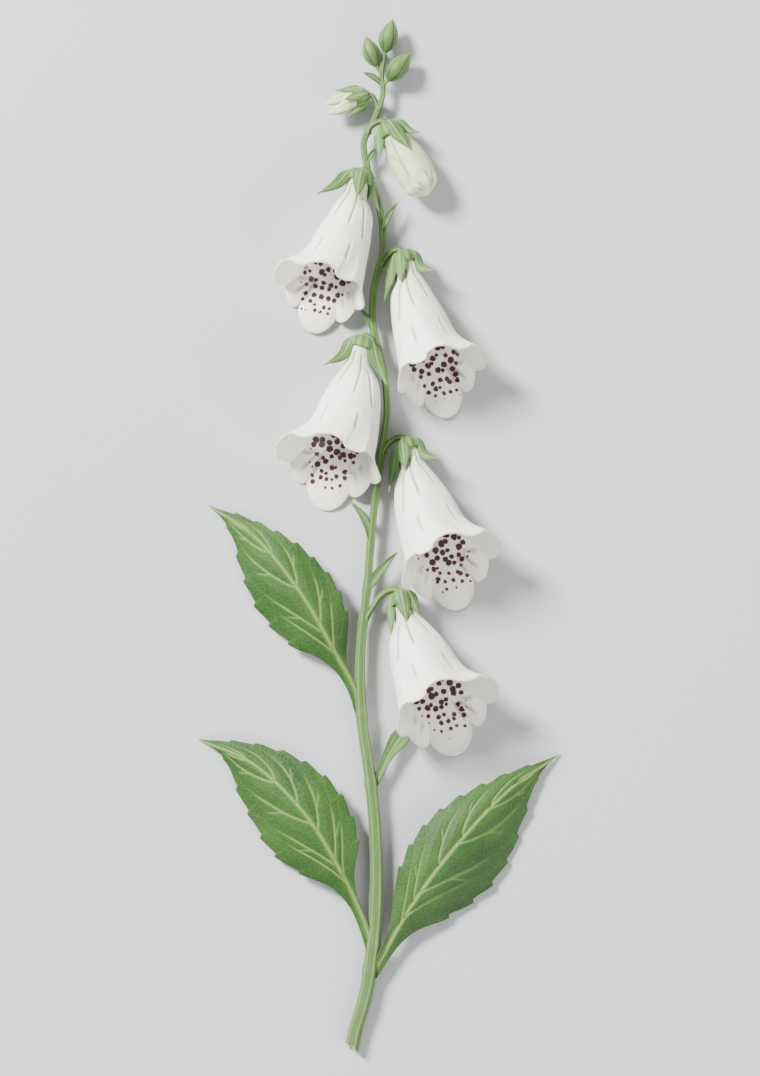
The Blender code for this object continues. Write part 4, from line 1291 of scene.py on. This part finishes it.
# Each half of a leaf has its widths at these shares of the rib, its teeth (how many, from, to) and
# where its side veins leave the rib.
leafStations = [
    0.0, 0.12, 0.16, 0.2, 0.24, 0.28, 0.32, 0.38, 0.44, 0.5, 0.57, 0.64, 0.7, 0.76, 0.82, 0.88, 0.94, 1.0,
]
leaves = {
    "leaf_upper_left": {
        "rib": [(-5.6, -53.0), (-7.4, -46.5), (-13.2, -35.4), (-24.8, -15.5), (-39.6, 1.7), (-52.3, 9.8)],
        "wide": [
            1.6, 2.2, 2.4, 3.1, 4.4, 6.5, 8.9, 11.1, 12.5,
            13.0, 13.0, 11.8, 10.4, 8.4, 5.6, 2.8, 0.9, 0.0,
        ],
        "narrow": [
            0.4, 0.5, 0.9, 2.1, 3.8, 5.9, 7.5, 8.9, 9.7,
            9.8, 9.0, 7.9, 6.4, 4.7, 3.3, 2.1, 1.0, 0.0,
        ],
        "wideTeeth": (6, 0.26, 0.9),
        "wideVeins": [0.23, 0.33, 0.535, 0.70, 0.82],
        "narrowVeins": [0.256, 0.37, 0.535, 0.685, 0.80],
        "seed": 0.4,
    },
    "leaf_lower_left": {
        "rib": [
            (-2.0, -125.0), (-4.6, -117.0), (-12.4, -100.0),
            (-24.5, -81.4), (-40.2, -67.5), (-55.1, -61.5),
        ],
        "wide": [
            1.9, 2.0, 2.2, 2.9, 4.0, 5.9, 8.4, 11.7, 13.9,
            14.6, 14.5, 13.1, 11.8, 9.8, 7.0, 3.1, 0.9, 0.0,
        ],
        "narrow": [
            0.6, 0.7, 0.8, 1.3, 2.3, 4.1, 6.5, 9.4, 10.9,
            11.6, 11.6, 10.5, 9.0, 6.9, 4.9, 3.0, 1.6, 0.0,
        ],
        "wideTeeth": (6, 0.26, 0.9),
        "wideVeins": [0.24, 0.315, 0.495, 0.685, 0.81],
        "narrowVeins": [0.27, 0.34, 0.46, 0.58, 0.69, 0.81],
        "seed": 2.1,
    },
    "leaf_lower_right": {
        "rib": [(-2.6, -133.0), (1.4, -126.0), (9.6, -111.6), (25.1, -91.0), (40.6, -75.5), (55.0, -66.1)],
        "wide": [
            2.1, 2.9, 3.8, 5.3, 7.6, 9.9, 11.5, 13.9, 15.1,
            15.9, 15.3, 14.2, 11.9, 9.3, 6.5, 3.0, 0.9, 0.0,
        ],
        "narrow": [
            0.8, 1.3, 1.9, 3.0, 4.6, 6.2, 7.6, 9.1, 10.2,
            10.5, 10.1, 8.7, 7.1, 5.1, 3.7, 2.2, 1.1, 0.0,
        ],
        "wideTeeth": (7, 0.22, 0.9),
        "wideVeins": [0.225, 0.33, 0.54, 0.7, 0.83],
        "narrowVeins": [0.2, 0.29, 0.44, 0.565, 0.705, 0.82],
        "seed": 4.4,
    },
}
leafShape = {
    "across": 96,
    "along": 228,
    "ribHeight": [(0.0, 3.6), (0.12, 4.3), (0.35, 8.0), (0.55, 8.8), (0.8, 5.2), (1.0, 0.45)],
    # on the wide half, then on the narrow one
    "droop": (6.6, 3.6),
    "droopWidth": 14.0,
    "lift": 0.15,
    "ground": 0.35,
    "thickness": 0.42,
    "narrowTeeth": (8, 0.29, 0.895),
    "toothHeight": 1.05,
    "toothTip": 0.93,
    # how far a side vein runs forward for the whole half, on the wide half and on the narrow one
    "veinSweep": (0.4, 0.285),
    "veinPower": 1.3,
    "veinEnd": (0.5, 0.72),
    "veinWidth": 0.29,
    "veinDepth": 0.42,
    # the forks of the side veins: from, to, how far forward
    "fork": (0.33, 0.68, 0.12),
    "ribWidth": 0.62,
    "ribDepth": 0.7,
    "puff": 0.5,
    "puffWidth": 2.6,
    "wave": 0.45,
    "channel": 0.9,
}


def toothRise(s, teeth):
    count, first, last = teeth
    phase = (s - first) / (last - first) * count
    phase = phase - np.floor(phase)
    tip = leafShape["toothTip"]
    rise = np.where(phase < tip, (phase / tip) ** 1.3, (1.0 - phase) / (1.0 - tip))
    return rise * np.where(s < 0.8, 1.0, 0.65) * ((s >= first) & (s < last))


# How strongly a side vein shows at each point, and how far away the nearest one is.
def veinsAt(edge, s, half, total, starts, sweep):
    power = leafShape["veinPower"]
    perWidth = total / np.maximum(half, 1.0)

    # distance to the nearest of some lines that slant across the half
    def nearestOf(rows, slant):
        return np.min(np.abs(np.array(rows)), axis=0) * total / np.sqrt(1.0 + (slant * perWidth) ** 2)

    slant = sweep * power * edge ** (power - 1.0)
    nearest = nearestOf([s - sweep * edge ** power - start for start in starts], slant)
    first, last, lean = leafShape["fork"]
    way = sweep * first ** power + lean * np.clip(edge - first, 0.0, 1.0)
    forkGap = nearestOf([s - way - start for start in starts[1:4]], lean)
    width = leafShape["veinWidth"] * (1.15 - 0.5 * edge)
    endFrom, endTo = leafShape["veinEnd"]
    vein = hump(nearest, width) * (1.0 - 0.92 * smoothStep((edge - endFrom) / (endTo - endFrom)))
    forkShow = smoothStep((edge - first) / 0.02) * (1.0 - smoothStep((edge - last + 0.14) / 0.14))
    fork = hump(forkGap, 0.75 * width) * forkShow
    return np.maximum(vein, 0.8 * fork) * smoothStep((half - 1.6) / 2.0), nearest


def makeLeaf(name, leaf):
    line = lineThrough(leaf["rib"])
    total = float(np.linalg.norm(np.diff(line(np.linspace(0.0, 1.0, 60)), axis=0), axis=1).sum())
    wideSide = -math.copysign(1.0, leaf["rib"][-1][0])
    wideCurve = curveThrough(list(zip(leafStations, leaf["wide"])))
    narrowCurve = curveThrough(list(zip(leafStations, leaf["narrow"])))
    ribCurve = curveThrough(leafShape["ribHeight"])

    def put(a, s):
        ahead = headingOn(line, s, 0.01)
        left = np.stack([-ahead[:, 1], ahead[:, 0]], axis=1)
        wide = a * wideSide > 0.0
        edge = np.abs(a)
        half = np.maximum(np.where(wide, wideCurve(s), narrowCurve(s)), 0.0)
        tooth = np.where(wide, toothRise(s, leaf["wideTeeth"]), toothRise(s, leafShape["narrowTeeth"]))
        reach = half * edge + leafShape["toothHeight"] * tooth * edge ** 7
        wideSweep, narrowSweep = leafShape["veinSweep"]
        wideVeins, wideGap = veinsAt(edge, s, half, total, leaf["wideVeins"], wideSweep)
        narrowVeins, narrowGap = veinsAt(edge, s, half, total, leaf["narrowVeins"], narrowSweep)
        veins = np.where(wide, wideVeins, narrowVeins)
        gap = np.minimum(np.where(wide, wideGap, narrowGap), half * edge)
        middle = hump(half * edge, leafShape["ribWidth"] * (1.2 - 0.6 * s))
        droop = np.where(wide, *leafShape["droop"]) * (half / leafShape["droopWidth"])
        puffed = (1.0 - hump(gap, leafShape["puffWidth"])) * (1.0 - edge) ** 0.5 * smoothStep(half / 8.0)
        wave = edge ** 2.5 * np.sin(s * 21.0 + leaf["seed"] + a) * smoothStep(half / 6.0)
        z = ribCurve(s) - droop * edge ** 1.5 - leafShape["veinDepth"] * veins
        z = z - leafShape["ribDepth"] * middle * smoothStep(s / 0.1) * (1.0 - 0.5 * s)
        z = z + leafShape["puff"] * puffed + leafShape["wave"] * wave
        # the foot is a channel that clasps the stem
        z = z + leafShape["channel"] * a * a * (1.0 - smoothStep((s - 0.06) / 0.16))
        points = np.zeros((len(a), 3))
        points[:, :2] = line(s) + left * (np.sign(a) * reach)[:, None]
        points[:, 2] = z + leafShape["lift"]
        marks = np.clip(np.maximum(0.95 * middle, 0.85 * veins), 0.0, 1.0)
        return restOnGround(points, leafShape["ground"]), marks

    bm = bentSheet(leafShape["across"], leafShape["along"], put)
    faceTowards(bm, lambda c: Vector((0.0, 0.0, 1.0)))
    addWall(addPiece(f"{name}_blade", bm, leafSides, [name]), leafShape["thickness"], insideSlot=1)
    print(name, "made")


for name, leaf in leaves.items():
    makeLeaf(name, leaf)


# foot inside the stem, tip, half width, how far the middle bows to the left, outline
bracts = {
    "bract_1": ((-1.9, -77.2, 3.7), (10.5, -56.0, 1.6), 2.7, 1.5, "broad"),
    "bract_2": ((-4.4, -17.2, 3.8), (5.5, -4.6, 4.6), 1.4, 0.6, "narrow"),
    "bract_3": ((-2.4, -2.6, 3.8), (-8.8, 10.9, 2.4), 1.15, -1.7, "narrow"),
    "bract_4": ((-1.4, 61.6, 3.8), (-5.4, 69.2, 3.0), 0.95, -0.4, "narrow"),
    "bract_5": ((0.8, 91.6, 4.0), (5.5, 101.4, 4.6), 0.95, 0.7, "narrow"),
    "bract_6": ((-4.1, 113.0, 3.6), (-0.7, 118.4, 3.4), 0.75, 0.2, "narrow"),
    "bract_7": ((0.7, 137.4, 4.6), (-4.9, 140.9, 4.9), 0.8, -0.5, "narrow"),
}
bractShape = {
    "narrow": [(0.0, 0.45), (0.2, 0.8), (0.38, 0.98), (0.55, 0.95), (0.8, 0.5), (1.0, 0.02)],
    "broad": [(0.0, 0.25), (0.25, 0.45), (0.51, 0.68), (0.76, 1.0), (0.92, 0.5), (1.0, 0.02)],
    "across": 16,
    "along": 50,
    "arch": 0.8,
    "hollow": 0.4,
    "rib": 0.24,
    "ribWidths": (0.24, 0.15),
    "thickness": 0.4,
}


def makeBract(name, foot, tip, half, bow, kind):
    foot, tip = np.array(foot), np.array(tip)
    ahead = unit((tip - foot)[:2])
    left = np.array([-ahead[1], ahead[0], 0.0])
    outline = curveThrough(bractShape[kind])

    def put(a, s):
        arch = np.sin(math.pi * s)
        width = half * outline(s)
        rib, sides = longRibs(a, s, width, bractShape["ribWidths"], 0.45)
        points = foot + (tip - foot) * s[:, None] + left * (a * width + bow * arch)[:, None]
        points[:, 2] += bractShape["arch"] * arch + bractShape["hollow"] * np.abs(a) ** 1.5
        points[:, 2] -= bractShape["rib"] * (rib + 0.4 * sides)
        return points, np.clip(rib + sides, 0.0, 1.0)

    bm = bentSheet(bractShape["across"], bractShape["along"], put)
    faceTowards(bm, lambda c: Vector((0.0, 0.0, 1.0)))
    piece = addPiece(f"{name}_blade", bm, [skin["sepalSkin"]], [name])
    addWall(piece, bractShape["thickness"], offset=0.0)


for bract, values in bracts.items():
    makeBract(bract, *values)
print("bracts made")


studio = {
    "floorSize": 6.0,
    "floor": (0.50, 0.505, 0.51),
    "floorOther": (0.485, 0.49, 0.495),
    "sky": 0.62,
    # where each light stands, its power and its size
    "lights": {
        "key": ((-1.0, 0.9, 1.05), 112.0, 0.5),
        "fill": ((0.9, -1.0, 0.9), 24.0, 1.2),
    },
    "lens": 180.0,
    "sensor": 36.0,
    "frameHeight": 326.0,
    "aim": (0.3, -0.3, 7.0),
    "clip": (0.01, 20.0),
}


def makeFloor():
    bm = bmesh.new()
    bmesh.ops.create_grid(bm, x_segments=1, y_segments=1, size=studio["floorSize"] / 2.0)
    floor = addObject("floor", meshFrom("floor", bm))
    material, tree = startMaterial("floorPaper", 0.8, specular=0.2)
    place = coordinatesOf(tree, "Object")
    colour = mixColour(tree, noiseOn(tree, place, 6.0), studio["floor"], studio["floorOther"])
    grain = noiseOn(tree, place, 1800.0, 3.0, 0.6)
    floor.data.materials.append(finishMaterial(material, colour, [(grain, 0.15, 0.08)]))


def makeLight(name, place, power, size):
    light = bpy.data.lights.new(name, "AREA")
    light.energy = power
    light.shape = "DISK"
    light.size = size
    lamp = addObject(name, light)
    lamp.location = place
    lamp.rotation_euler = (-Vector(place)).to_track_quat("-Z", "Y").to_euler()


def makeSky():
    world = bpy.data.worlds.new("studio")
    world.use_nodes = True
    sky = world.node_tree.nodes["Background"].inputs
    sky["Color"].default_value = (*white, 1.0)
    sky["Strength"].default_value = studio["sky"]
    bpy.context.scene.world = world


# The camera looks straight down.
def makeCamera():
    camera = bpy.data.cameras.new("camera")
    camera.lens = studio["lens"]
    camera.sensor_width = studio["sensor"]
    camera.clip_start, camera.clip_end = studio["clip"]
    eye = addObject("camera", camera)
    distance = studio["frameHeight"] * mm * studio["lens"] / studio["sensor"]
    x, y, z = (value * mm for value in studio["aim"])
    eye.location = (x, y, z + distance)
    bpy.context.scene.camera = eye


makeFloor()
makeSky()
for name, light in studio["lights"].items():
    makeLight(name, *light)
makeCamera()
print("studio ready")
